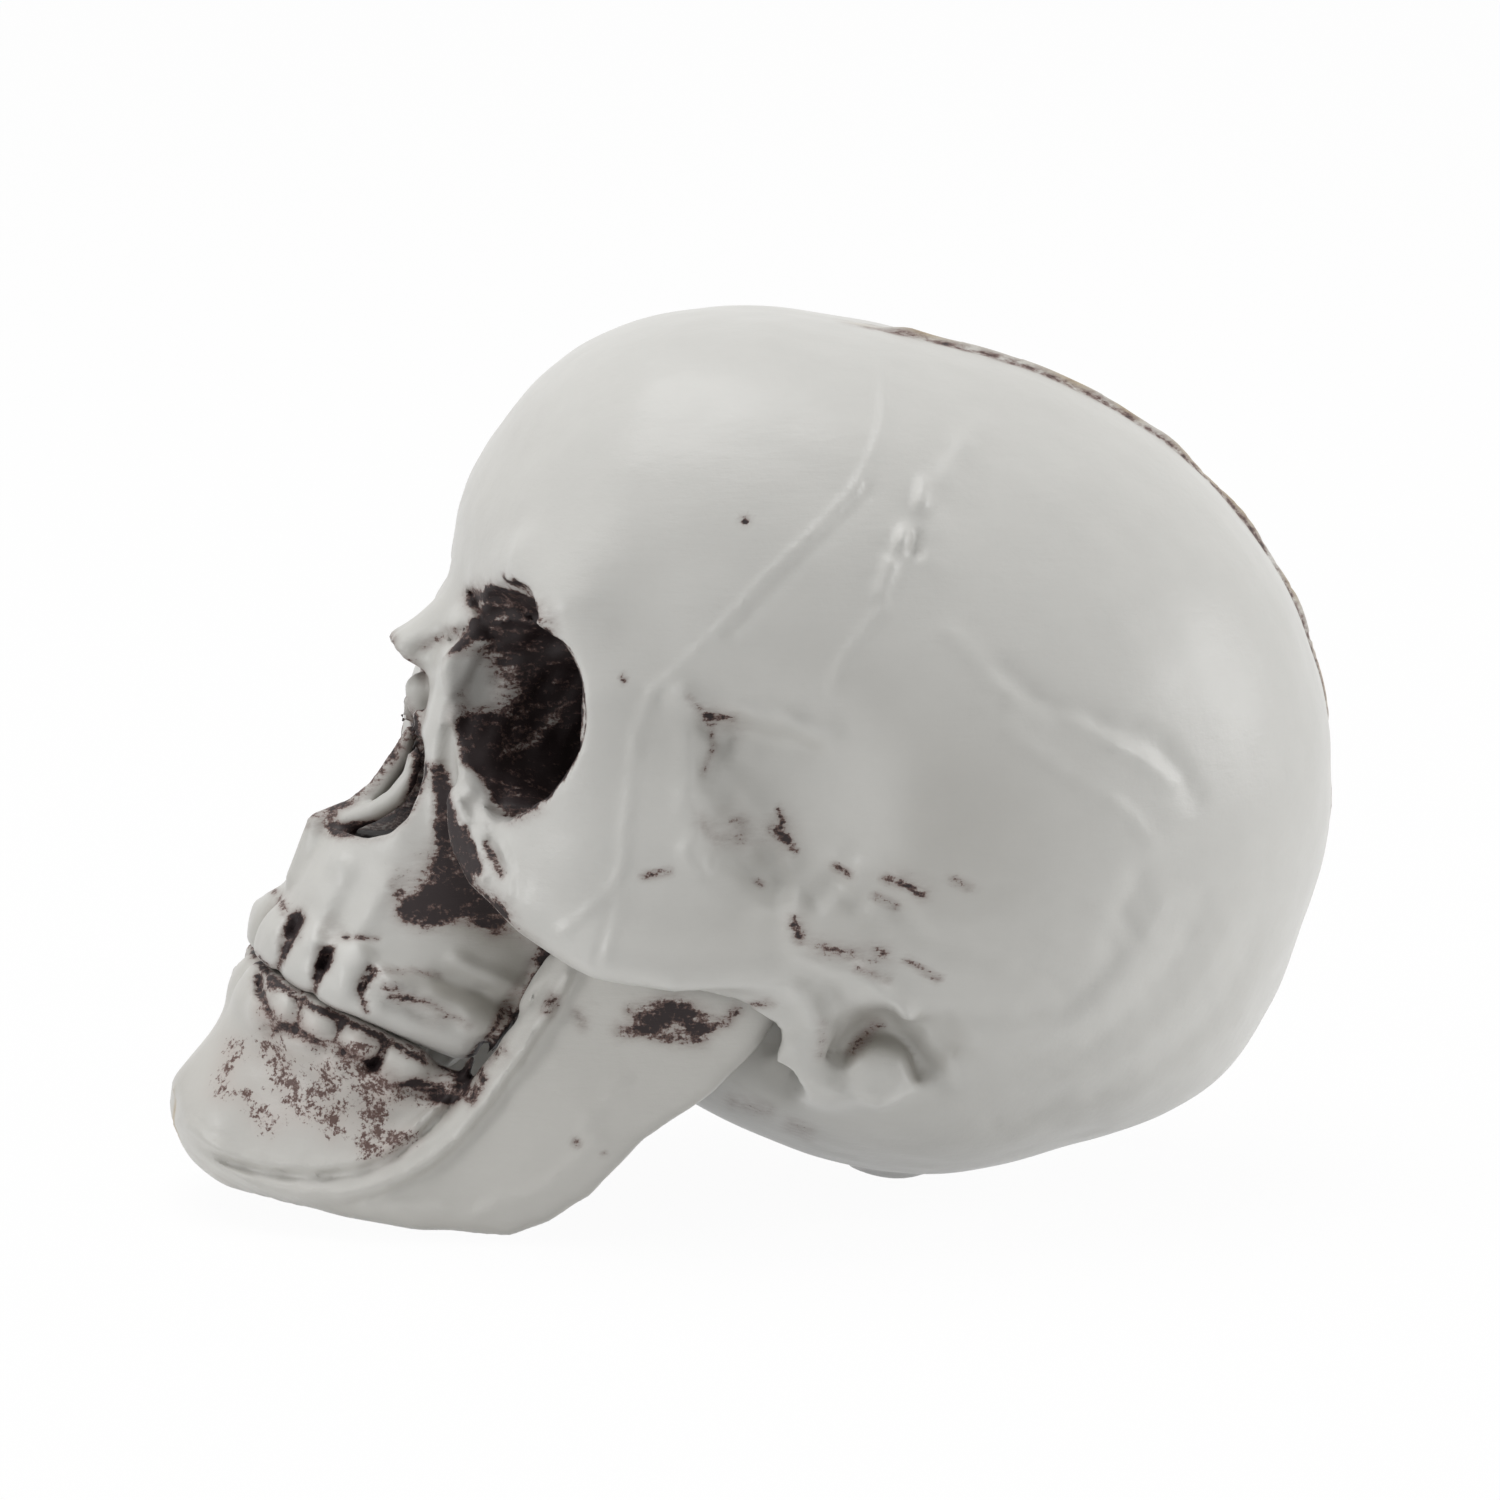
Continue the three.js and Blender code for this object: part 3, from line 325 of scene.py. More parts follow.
# Forms with a fixed place on the head, as points and radii or as centre and half sizes, in millimetres.
GROOVE_UNDERCUT = [
    (6.6, -33.4, 21, 0.4), (7.6, -32.6, 18.6, 0.8), (8.6, -31.4, 16, 1.05), (9.6, -29.8, 13.6, 1.2),
    (11.4, -27.6, 12, 1.2),
]
NOSE_RIDGE = [
    (0.8, -36, 11.6, 0.7), (1.5, -34.6, 13.2, 0.75), (2, -33.7, 14.8, 0.75), (2.3, -33.4, 16.7, 0.7),
    (2.5, -33.8, 18.4, 0.6), (2.4, -34.8, 20.4, 0.5),
]
EAR_HOLLOW = (20.6, 0.8, 14.8, 2.6, 3.6, 3)
EAR_BALL = (18.4, 0.2, 13.1, 2, 2.3, 2.2)
EAR_COLUMN = [(17.4, -8, 14.8, 1.8), (17.6, -5.2, 12.9, 2), (17.2, -2.6, 11.2, 1.7)]
CHIN_TIP = [(0, -37.4, -10.6, 0.3), (0, -37.8, -11.8, 0.3), (0, -36.4, -12.8, 0.3)]

# The side drawing: the left side as the camera sees it, in units from the upper left corner of a picture
# that is DRAWING_SIDE units wide, with x to the right and y down. A unit is DRAWING_UNIT millimetres.
DRAWING_SIDE = 1024
DRAWING_UNIT = 0.0981
SENSOR = 0.036  # breadth of the camera's sensor in metres
# Outlines of the eye socket and of the nose opening. Nothing stands before them beyond these distances from
# the middle plane, in millimetres.
ORBIT = [
    (330, 402), (350, 401), (362, 413), (369, 420), (375, 427), (381, 434), (386, 441), (391, 448),
    (395, 456), (398, 465), (399.5, 475), (400.5, 486), (400, 497), (398.5, 505), (396, 512), (392, 519),
    (388, 525.5), (383.5, 532), (379, 538), (374, 544), (369, 549), (364.5, 553.5), (360, 557), (350, 559),
    (340, 557), (331, 551), (322, 541), (312, 527), (308, 490), (308, 450), (318, 420),
]
ORBIT_FLOOR = 11
ORBIT_OPENS = 15
APERTURE = [
    (150, 474), (277, 474), (284, 490), (289, 510), (290, 528), (286, 541), (279, 558), (266, 569),
    (250, 572), (238, 569), (226, 561), (212, 553), (150, 550),
]
APERTURE_FLOOR = 1.2
# Positions of the jaw that make up the room of its branch.
ROOM_STEPS = 6

# How much all strokes are raised together, and the slow wave that breaks them up: its least share, its
# height, and how fast it turns across and down the drawing.
RELIEF = 1.35
BREAK_LEAST, BREAK_HEIGHT = 0.85, 0.3
BREAK_ACROSS, BREAK_DOWN, BREAK_START = 0.21, 0.17, 1.3
# A stroke or a mark is left out beyond this many of its widths.
STROKE_REACH = 3

# Strokes of the side drawing that stand up from the surface or are sunk in it: width and height in
# millimetres, then points.
HEAD_STROKES = [
    # The seam between forehead and crown, a fine line that becomes a step and runs down over the cheek.
    (0.3, 0.14, [(604, 246), (604, 285), (598, 305), (590, 322), (583, 334)]),
    (0.3, 0.16, [(586, 332), (560, 359), (520, 397), (492, 428), (468, 451), (446, 472)]),
    (0.4, -0.12, [(593, 336), (567, 364), (527, 403), (499, 434)]),
    (0.4, 0.2, [(446, 472), (434, 500), (430, 540), (426, 580), (420, 620), (413, 656)]),
    (0.35, -0.16, [(424, 600), (416, 630), (408, 655)]), (0.35, 0.12, [(423, 600), (400, 622), (380, 640)]),
    # Nubs and a band behind the seam.
    (0.5, 0.35, [(631, 330), (629, 344)]), (0.55, 0.6, [(618, 366), (616, 372)]),
    (0.5, -0.35, [(625, 366), (624, 376)]), (0.5, 0.4, [(609, 384), (605, 394), (601, 404)]),
    (0.4, 0.16, [(604, 414), (590, 430), (576, 450), (568, 470)]),
    (1, 0.16, [(664, 292), (650, 320), (642, 350), (640, 382)]),
    # Worm-like squiggles.
    (0.6, 0.18, [(650, 432), (662, 444), (674, 460), (688, 476)]),
    (0.8, -0.22, [(684, 458), (700, 472), (720, 483), (746, 493), (772, 499), (792, 512), (806, 532),
        (814, 546)]),
    (0.5, 0.26, [(730, 490), (747, 500), (766, 511), (786, 522), (800, 534)]),
    (0.6, 0.13, [(676, 484), (686, 496), (698, 508), (720, 521), (742, 536), (762, 549), (776, 562),
        (786, 576)]),
    (0.5, -0.22, [(684, 478), (680, 490)]),
    # The temple hollow: a valley behind the post that turns back over the arch, its rim and a shelf.
    (1.9, -0.6, [(486, 490), (488, 530), (494, 568), (516, 592), (560, 606), (610, 622)]),
    (1, -0.2, [(500, 560), (540, 566), (580, 580)]), (1.2, 0.22, [(520, 626), (500, 622), (486, 616)]),
    (1, 0.4, [(464, 474), (472, 508), (470, 545), (478, 578)]),
    (0.9, 0.4, [(476, 480), (508, 485), (538, 493), (565, 503)]),
    (0.9, -0.25, [(500, 499), (530, 506), (556, 514)]), (0.8, 0.3, [(470, 580), (474, 590), (478, 592)]),
    (0.7, -0.3, [(484, 582), (496, 596), (504, 590)]), (0.8, 0.35, [(540, 592), (545, 612), (541, 632)]),
    # The arch's root, the ear hollow's folds and lumps before it.
    (0.9, 0.6, [(546, 652), (575, 661), (605, 679), (630, 702), (655, 730)]),
    (0.7, -0.5, [(606, 692), (590, 698), (577, 710), (571, 724)]),
    (0.9, 0.5, [(548, 680), (556, 700), (545, 715)]), (0.8, -0.4, [(552, 664), (566, 678), (572, 694)]),
    (0.8, 0.4, [(530, 722), (560, 745), (600, 752), (632, 740)]),
    # Rings behind the ear.
    (0.8, -0.15, [(620, 640), (660, 650), (700, 664), (735, 677)]),
    (0.8, 0.12, [(640, 628), (690, 626), (720, 640), (745, 650)]),
    (0.8, -0.14, [(650, 690), (690, 694), (725, 688), (752, 662), (768, 628), (776, 598)]),
    (0.8, 0.13, [(668, 706), (715, 706), (750, 690), (778, 655), (794, 615)]),
    (0.8, -0.13, [(690, 722), (735, 716), (778, 690), (806, 650), (820, 612)]),
    (0.8, 0.12, [(680, 742), (735, 735), (785, 712), (822, 672), (840, 630)]),
    (0.8, -0.12, [(680, 765), (740, 750), (795, 722), (835, 685), (854, 645)]),
    (0.8, 0.1, [(700, 775), (760, 760), (812, 730), (848, 695)]),
    (0.7, -0.1, [(640, 600), (700, 608), (760, 620), (782, 648)]),
    # The side of the nose and the folds in the opening's upper corner.
    (0.7, 0.35, [(304, 450), (299, 480), (297, 505), (293, 524)]),
    (0.22, -0.4, [(281, 488), (284, 500), (282, 512)]), (0.24, -0.5, [(287, 506), (289, 518), (286, 530)]),
    (0.5, -0.3, [(286, 444), (296, 441), (304, 434)]),
    # Streaks in the eye socket's upper corner.
    (0.3, 0.35, [(332, 426), (350, 423), (369, 426)]), (0.3, -0.35, [(336, 407), (352, 411), (364, 420)]),
    (0.3, -0.4, [(322, 405), (328, 420), (338, 437)]), (0.3, -0.4, [(309, 438), (318, 428)]),
    # Folds of the cheek's inner edge.
    (0.35, 0.4, [(312, 546), (318, 560), (325, 578), (329, 600)]),
    (0.3, -0.6, [(320, 566), (324, 580), (328, 594)]), (0.3, 0.25, [(329, 566), (337, 581), (343, 600)]),
    (0.32, -0.5, [(334, 575), (340, 586), (343, 597)]), (0.3, 0.2, [(342, 575), (348, 592), (347, 612)]),
    # Roots of the front teeth and the pits between them.
    (1, 0.35, [(215, 640), (222, 615), (232, 590)]), (1, 0.3, [(242, 652), (252, 625), (262, 600)]),
    (0.2, -0.15, [(236, 641), (248, 640), (259, 642)]), (0.45, -0.42, [(203, 629), (199, 637)]),
    (0.3, -0.25, [(199, 637), (195, 647)]), (0.45, -0.42, [(223, 652), (220, 659)]),
    (0.3, -0.25, [(220, 659), (217, 667)]), (0.4, -0.36, [(253, 664), (248, 672)]),
    (0.3, -0.2, [(248, 672), (246, 680)]), (0.7, 0.3, [(188, 638), (187, 648)]),
    (0.75, 0.32, [(211, 648), (208, 661)]), (0.75, 0.32, [(237, 662), (233, 676)]),
    (0.7, 0.25, [(264, 674), (258, 686)]), (0.25, -0.15, [(195, 649), (191, 660), (189, 668)]),
    (0.25, -0.15, [(217, 667), (214, 678)]),
    # Folds of the upper jaw over its rear teeth.
    (0.6, -0.4, [(258, 679), (285, 690), (312, 700), (330, 712)]),
    (0.8, 0.4, [(262, 668), (295, 680), (325, 692), (340, 705)]),
    (0.5, -0.3, [(300, 666), (330, 678), (352, 692)]), (0.6, 0.3, [(310, 655), (340, 668), (360, 680)]),
    (0.5, 0.45, [(318, 701), (326, 707)]),
    (0.25, 0.4, [(369, 660), (362, 672), (358, 684), (350, 694), (343, 706), (332, 722)]),
    # A nub on the middle of the forehead.
    (0.6, 0.5, [(311, 318), (312, 322)]),
]
JAW_STROKES = [
    # The shield's rounded border.
    (0.36, -0.42, [(118, 752), (124, 770), (140, 785), (156, 793), (182, 800), (215, 803), (245, 800),
        (270, 789), (295, 769), (316, 746), (332, 722), (350, 698), (372, 674)]),
    (0.34, 0.32, [(128, 770), (142, 781), (158, 788), (182, 795), (214, 797), (242, 794), (266, 784),
        (288, 766), (308, 744), (322, 722)]),
    (0.36, 0.28, [(372, 690), (352, 722), (332, 752), (312, 776), (290, 794), (262, 808), (232, 815),
        (202, 814), (172, 807), (150, 797)]),
    # A fold beside it and a wavy line under it.
    (0.4, 0.35, [(376, 690), (366, 706), (352, 728)]),
    (0.5, 0.2, [(252, 822), (298, 824), (322, 831), (344, 820), (370, 812), (392, 795), (408, 778)]),
    (0.5, 0.16, [(398, 770), (412, 752), (425, 738)]),
    # Gum bumps under the lower teeth.
    (1, 0.35, [(230, 730), (236, 738)]), (1, 0.35, [(256, 738), (264, 744)]),
    (0.9, 0.3, [(200, 712), (210, 716)]), (0.5, -0.35, [(252, 728), (262, 722), (268, 728)]),
    (0.45, -0.45, [(302, 724), (315, 730), (312, 744), (298, 748), (276, 742)]),
    (0.35, -0.36, [(204, 684), (204, 694), (202, 702)]), (0.6, 0.25, [(192, 685), (192, 693)]),
    (0.35, -0.36, [(233, 699), (229, 707), (233, 718)]), (0.6, 0.25, [(217, 696), (218, 706)]),
    (0.35, -0.32, [(262, 712), (258, 722)]), (0.6, 0.25, [(245, 708), (247, 718)]),
    (0.4, -0.3, [(182, 702), (204, 706), (230, 718), (258, 730)]),
    (0.35, -0.4, [(176, 668), (178, 680), (184, 692)]), (0.4, 0.35, [(374, 688), (382, 676), (388, 664)]),
]
# The raised shield of the chin: height and fade in millimetres, and its outline in the side drawing.
SHIELD_RISE, SHIELD_FADE = 0.8, 0.5
SHIELD = [
    (60, 640), (60, 700), (100, 722), (114, 745), (120, 768), (134, 786), (150, 799), (172, 811), (202, 819),
    (234, 820), (264, 813), (294, 797), (316, 778), (338, 750), (358, 720), (378, 688), (400, 650),
]

# Waves of the moulding: height, wave length and seed. The socket's waves stay in a band round its wall.
HEAD_WAVES = [(0.05, 9, 1), (0.02, 3.5, 2)]
SOCKET_WAVES = [(0.22, 4, 3), (0.12, 1.9, 4)]
JAW_WAVES = [(0.05, 8, 11), (0.02, 3.2, 12)]
SOCKET_BAND, SOCKET_BAND_FADE = 0.4, 0.5
# The flash on the crown's seam: height, half width and wave, then its start and growth, backwards and up.
FLASH_HEIGHT, FLASH_HALF_WIDTH, FLASH_WAVE = 0.5, 0.5, (0.25, 6, 7)
FLASH_FRONT, FLASH_FOOT = (-17, 2), (30, 6)


# Distance functions

# Room in millimetres round the box of a form that is only worked out nearby.
BOX_PAD = 4
# The least divisors.
TINY, TINIEST = 1e-9, 1e-12
# Spread of a ripple's wave lengths, and its latest start in radians.
RIPPLE_SPREAD, RIPPLE_START = (0.7, 1.4), 6.3


def ellipsoid(p, centre, radii, turn=0.0):
    """d = k (k - 1) / g with k = |q / r| and g = |q / r^2|, for q the point seen from the turned centre."""
    x, y, z = (p[i] - centre[i] for i in range(3))
    if turn:
        c, s = math.cos(turn), math.sin(turn)
        x, y = x * c + y * s, y * c - x * s
    k = np.sqrt((x / radii[0]) ** 2 + (y / radii[1]) ** 2 + (z / radii[2]) ** 2)
    g = np.sqrt((x / radii[0] ** 2) ** 2 + (y / radii[1] ** 2) ** 2 + (z / radii[2] ** 2) ** 2)
    return k * (k - 1) / np.maximum(g, TINY)


def round_cone(p, a, b, ra, rb):
    """d = |p - a - t (b - a)| - ra - t (rb - ra), t the nearest share of the way from a to b."""
    step = [b[i] - a[i] for i in range(3)]
    square = sum(v * v for v in step)
    q = [p[i] - a[i] for i in range(3)]
    t = np.clip(sum(q[i] * step[i] for i in range(3)) / square, 0, 1)
    return np.sqrt(sum((q[i] - t * step[i]) ** 2 for i in range(3))) - ra - t * (rb - ra)


def soft_min(a, b, blend):
    """min(a, b) - h^2 blend / 4 with h = max(blend - |a - b|, 0) / blend."""
    h = np.maximum(blend - np.abs(a - b), 0) / blend
    return np.minimum(a, b) - h * h * blend / 4


def cut(a, b, blend):
    """max(a, -b), rounded."""
    return -soft_min(-a, b, blend)


def overlap(a, b, blend):
    """max(a, b), rounded."""
    return -soft_min(-a, -b, blend)


def place(s, shares):
    """A point from its shares of the half breadth, the face reach (forwards) and the face rise (up)."""
    return shares[0] * s.head.half_breadth, -shares[1] * s.head.face_reach, shares[2] * s.head.face_rise


def lobe(s, p, shares):
    """An ellipsoid from one row of shares: its place, then its half sizes."""
    radii = shares[3] * s.head.half_breadth, shares[4] * s.head.face_reach, shares[5] * s.head.face_rise
    return ellipsoid(p, place(s, shares), radii)


def chain(s, p, rows, radius):
    """The nearest of the round cones from row to row of a table of shares."""
    d = None
    for low, high in zip(rows, rows[1:]):
        cone = round_cone(p, place(s, low), place(s, high), low[3] * radius, high[3] * radius)
        d = cone if d is None else np.minimum(d, cone)
    return d


def trace(p, rows):
    """The nearest of the round cones from row to row, each row a point and a radius in millimetres."""
    d = None
    for low, high in zip(rows, rows[1:]):
        a, b = np.array(low) * MM, np.array(high) * MM
        cone = round_cone(p, a[:3], b[:3], a[3], b[3])
        d = cone if d is None else np.minimum(d, cone)
    return d


def blob(p, row):
    """An ellipsoid from one row: centre and half sizes in millimetres."""
    values = np.array(row) * MM
    return ellipsoid(p, values[:3], values[3:])


def near(p, low, high, form):
    """form(p) inside the box from low to high grown by a pad, and the pad elsewhere."""
    pad = BOX_PAD * MM
    hit = np.ones(p[0].shape, bool)
    for value, start, end in zip(p, low, high):
        hit &= (value > start - pad) & (value < end + pad)
    d = np.full(p[0].shape, pad, p[0].dtype)
    if hit.any():
        d[hit] = np.minimum(form(tuple(c[hit] for c in p)), pad)
    return d


def drawn(s, p):
    """Where points show in the side drawing: f0 + k (w . r) / (D - w . b), w seen from the target."""
    g, j = s.stage, s.jaw
    c, n = math.cos(s.rest_tilt), math.sin(s.rest_tilt)
    shift = np.array(frame["joints"][0]["pos_m"]) - np.array(TARGET)
    y, z = p[1] + j.hinge_forward, p[2] - j.hinge_up
    w = p[0] + shift[0], y * c + z * n + shift[1], z * c - y * n + shift[2]
    right, up, back = camera_axes(g)
    k = DRAWING_SIDE * g.lens * MM / SENSOR / (g.distance - sum(w[i] * back[i] for i in range(3)))
    return (DRAWING_SIDE / 2 + k * sum(w[i] * right[i] for i in range(3)),
            DRAWING_SIDE / 2 - k * sum(w[i] * up[i] for i in range(3)))


def camera_axes(g):
    """Unit vectors to the right of the camera, up in its picture, and from the target to the camera."""
    ca, sa, ce, se = (math.cos(g.azimuth), math.sin(g.azimuth), math.cos(g.elevation), math.sin(g.elevation))
    return (ca, sa, 0), (-se * sa, se * ca, ce), (sa * ce, -ca * ce, se)


def line_distance(q, points):
    """Distance in the drawing to the line through points."""
    nearest = None
    for (ax, ay), (bx, by) in zip(points, points[1:]):
        ex, ey = bx - ax, by - ay
        t = np.clip(((q[0] - ax) * ex + (q[1] - ay) * ey) / (ex * ex + ey * ey), 0, 1)
        square = (q[0] - ax - t * ex) ** 2 + (q[1] - ay - t * ey) ** 2
        nearest = square if nearest is None else np.minimum(nearest, square)
    return np.sqrt(nearest)


def stroke(s, p, d, table):
    """d - h b exp(-(D / w)^2) for each stroke, with D the distance to it in the drawing and b a slow wave."""
    skin = np.abs(d) < s.mesh.margin
    right, down = drawn(s, tuple(c[skin] for c in p))
    change = np.zeros(right.shape)
    for width, height, points in table:
        reach = STROKE_REACH * width / DRAWING_UNIT
        (x0, y0), (x1, y1) = np.min(points, 0) - reach, np.max(points, 0) + reach
        hit = (right > x0) & (right < x1) & (down > y0) & (down < y1)
        distance = line_distance((right[hit], down[hit]), points) * DRAWING_UNIT
        wave = np.sin(BREAK_ACROSS * right[hit] + BREAK_START) * np.sin(BREAK_DOWN * down[hit])
        broken = BREAK_LEAST + BREAK_HEIGHT * wave
        change[hit] += height * broken * np.exp(-(distance / width) ** 2)
    d[skin] -= change * RELIEF * MM
    return d


def ripple(p, length, seed, count=7):
    """Soft random unevenness from about -1 to 1: sines of similar wave length along random directions."""
    rng = np.random.default_rng(seed)
    total = 0
    for _ in range(count):
        way = rng.normal(size=3)
        way *= 2 * math.pi / (length * MM) / np.linalg.norm(way) * rng.uniform(*RIPPLE_SPREAD)
        total = total + np.sin(p[0] * way[0] + p[1] * way[1] + p[2] * way[2] + rng.uniform(0, RIPPLE_START))
    return total / math.sqrt(count)


def waves(p, table):
    """The sum of height times ripple over a table's rows of height, wave length and seed, in millimetres."""
    return sum(height * ripple(p, length, seed) for height, length, seed in table)


def soft_inside(d, fade):
    """1 well inside a form and 0 outside it, fading over a width in millimetres."""
    return np.clip(0.5 - d / (fade * MM), 0, 1)


def before(value, end, fade):
    """1 well before an end and 0 beyond it, fading over a width that is centred on the end."""
    return np.clip(0.5 - (value - end) / fade, 0, 1)


def beyond(value, start, fade):
    """0 before a start and 1 from one width beyond it."""
    return np.clip((value - start) / fade, 0, 1)


def outline(y, z, points):
    """Signed distance to a closed outline in y and z."""
    square = np.full(y.shape, np.inf)
    inside = np.zeros(y.shape, bool)
    for (ay, az), (by, bz) in zip(points, points[-1:] + points[:-1]):
        ey, ez = by - ay, bz - az
        t = np.clip(((y - ay) * ey + (z - az) * ez) / (ey * ey + ez * ez), 0, 1)
        square = np.minimum(square, (y - ay - t * ey) ** 2 + (z - az - t * ez) ** 2)
        crosses = ((az > z) != (bz > z)) & (y < ay + ey * (z - az) / (ez if ez else 1))
        inside ^= crosses
    return np.where(inside, -1, 1) * np.sqrt(square)


def horseshoe(s, p, half_breadth, length):
    """(k - 1) min(a, b), k = (|x / a|^n + |ahead / b|^n)^(1 / n), straight behind the arch's start."""
    ahead = np.maximum(-(p[1] + s.mouth.forward) / length, 0)
    k = (np.abs(p[0] / half_breadth) ** ARCH_POWER + ahead ** ARCH_POWER) ** (1 / ARCH_POWER)
    return (k - 1) * min(half_breadth, length)


# Head

def braincase(s, p):
    """Crown, forehead, nape and base lobes, blended softly."""
    h, m = s.head, s.mesh
    forehead = ellipsoid(p, (0, -h.forehead_forward, h.forehead_up),
                         (h.forehead_half_breadth, h.forehead_half_length, h.forehead_half_height))
    crown = ellipsoid(p, (0, -h.crown_forward, h.crown_up),
                      (h.half_breadth, h.crown_half_length, h.crown_half_height))
    nape = ellipsoid(p, (0, -h.nape_forward, h.nape_up),
                     (h.nape_half_breadth, h.nape_half_length, h.nape_half_height))
    base = ellipsoid(p, (0, h.wall, h.base_up), (h.base_half_breadth, h.base_half_length, h.base_half_height))
    lobes = soft_min(soft_min(forehead, crown, m.soft_blend), nape, m.soft_blend)
    return soft_min(lobes, base, m.body_blend)


def cheek(s, p):
    """The cheek plate with the arch along its lower edge and the post beside the eye socket."""
    f, m = s.face, s.mesh
    radii = f.cheek_thickness, f.cheek_half_length, f.cheek_half_height
    sheet = ellipsoid(p, place(s, CHEEK_PLACE_SHARES), radii, f.cheek_turn)
    edge = chain(s, p, CHEEK_EDGE_SHARES, f.cheek_edge_radius)
    post = chain(s, p, POST_SHARES, f.post_radius)
    return soft_min(soft_min(sheet, edge, m.form_blend), post, m.form_blend)


def upper_jaw(s, p):
    """A block that narrows from gum to top, the core behind the nose, the throat, and the nose's sides."""
    u, m = s.mouth, s.mesh
    low = horseshoe(s, p, u.half_breadth, u.length)
    high = horseshoe(s, p, u.half_breadth * HIGH_ARCH_SHARES[0], u.length * HIGH_ARCH_SHARES[1])
    gum = u.bite_up + u.gum_rise
    rise = np.clip((p[2] - gum) / (u.top - gum), 0, 1)
    block = low * (1 - rise) + high * rise
    block = overlap(block, p[2] - u.top, m.form_blend)
    block = overlap(block, gum - p[2], m.edge_blend)
    block = overlap(block, p[1] + u.rear - UPPER_JAW_LEAN * (p[2] - u.bite_up), m.edge_blend)
    block = soft_min(block, lobe(s, p, JAW_CORE_SHARES), m.form_blend)
    block = soft_min(block, lobe(s, p, THROAT_SHARES), m.form_blend)
    return soft_min(block, chain(s, p, NOSE_SIDE_SHARES, s.face.rim_radius), m.form_blend)


def socket(s, p):
    """The eye socket: a cone that runs inwards and back, flared at its outer lower edge."""
    f = s.face
    front = f.socket_out, -f.socket_forward, f.socket_up
    out, up = f.socket_out * SOCKET_BACK_SHARES[0], f.socket_up * SOCKET_BACK_SHARES[1]
    back = out, f.socket_depth - f.socket_forward, up
    cone = round_cone(p, front, back, f.socket_mouth_radius, f.socket_back_radius)
    return soft_min(cone, lobe(s, p, SOCKET_FLARE_SHARES), s.mesh.form_blend)


def nose_opening(s, p):
    """The lower lobe of the nose opening and the lobe between the nose bones."""
    f = s.face
    radii = f.nose_half_breadth, f.nose_depth, f.nose_half_height
    low = ellipsoid(p, (0, -s.head.face_reach, f.nose_up), radii)
    return soft_min(low, lobe(s, p, NOSE_TOP_SHARES), s.mesh.edge_blend)


def orbit(s, p):
    """The eye socket with the border of the side drawing on its near side."""
    border = outline(*drawn(s, p), ORBIT) * DRAWING_UNIT * MM
    opening = overlap(socket(s, p), border - np.maximum(ORBIT_OPENS * MM - p[0], 0), s.mesh.rim_blend)
    return np.minimum(opening, np.maximum(border, ORBIT_FLOOR * MM - p[0]))


def aperture(s, p):
    """Everything before the near border of the nose opening, as far in as its middle wall."""
    border = outline(*drawn(s, p), APERTURE) * DRAWING_UNIT * MM
    return np.maximum(border, APERTURE_FLOOR * MM - p[0])


def hinge_bore(s, p, clearance):
    """Distance to the line of the pin, less its radius and a clearance."""
    j = s.jaw
    return np.hypot(p[1] + j.hinge_forward, p[2] - j.hinge_up) - j.pin_radius - clearance


def branch_room(s, p):
    """The room that the jaw's branch sweeps as it opens, with its clearance."""
    j = s.jaw
    v, w = p[1] + j.hinge_forward, p[2] - j.hinge_up
    d = None
    for step in np.linspace(0, j.opening, ROOM_STEPS):
        c, n = math.cos(step), math.sin(step)
        turned = p[0], v * c + w * n - j.hinge_forward, w * c - v * n + j.hinge_up
        here = branch(s, turned) - j.clearance
        d = here if d is None else np.minimum(d, here)
    return d


def near_room(s, p):
    """The branch's room, worked out only in the box that holds it."""
    h = s.head
    low, high = (0, -h.face_reach, -s.mouth.top), (h.half_breadth, 0, h.face_rise * ROOM_TOP_SHARE)
    return near(p, low, high, lambda q: branch_room(s, q))


def tooth(p, centre, radii, turn):
    """d = (k - 1) min(r) with k = (|x / a|^n + |y / b|^n + |z / c|^n)^(1 / n), turned about the upright."""
    x, y, z = (p[i] - centre[i] for i in range(3))
    c, n = math.cos(turn), math.sin(turn)
    total = sum(np.abs(v / r) ** TOOTH_POWER for v, r in zip((x * c + y * n, y * c - x * n, z), radii))
    return (total ** (1 / TOOTH_POWER) - 1) * min(radii)


def teeth(s, p, up):
    """Blobs along the arch, the rear ones run together into a block, cut level at the bite."""
    u, m = s.mouth, s.mesh
    d = trace(p, UPPER_BLOCK if up else LOWER_BLOCK)
    for x, y, z, breadth, height, degrees in UPPER_TEETH if up else LOWER_TEETH:
        radii = breadth * MM, TOOTH_HALF_DEPTH * MM, height * MM
        one = tooth(p, (x * MM, y * MM, z * MM), radii, math.radians(degrees))
        d = soft_min(d, one, m.tooth_blend)
    level = u.bite_up + u.tooth_gap / 2 - p[2] if up else p[2] - u.bite_up + u.tooth_gap / 2
    return overlap(d, level, m.tooth_blend / 2)


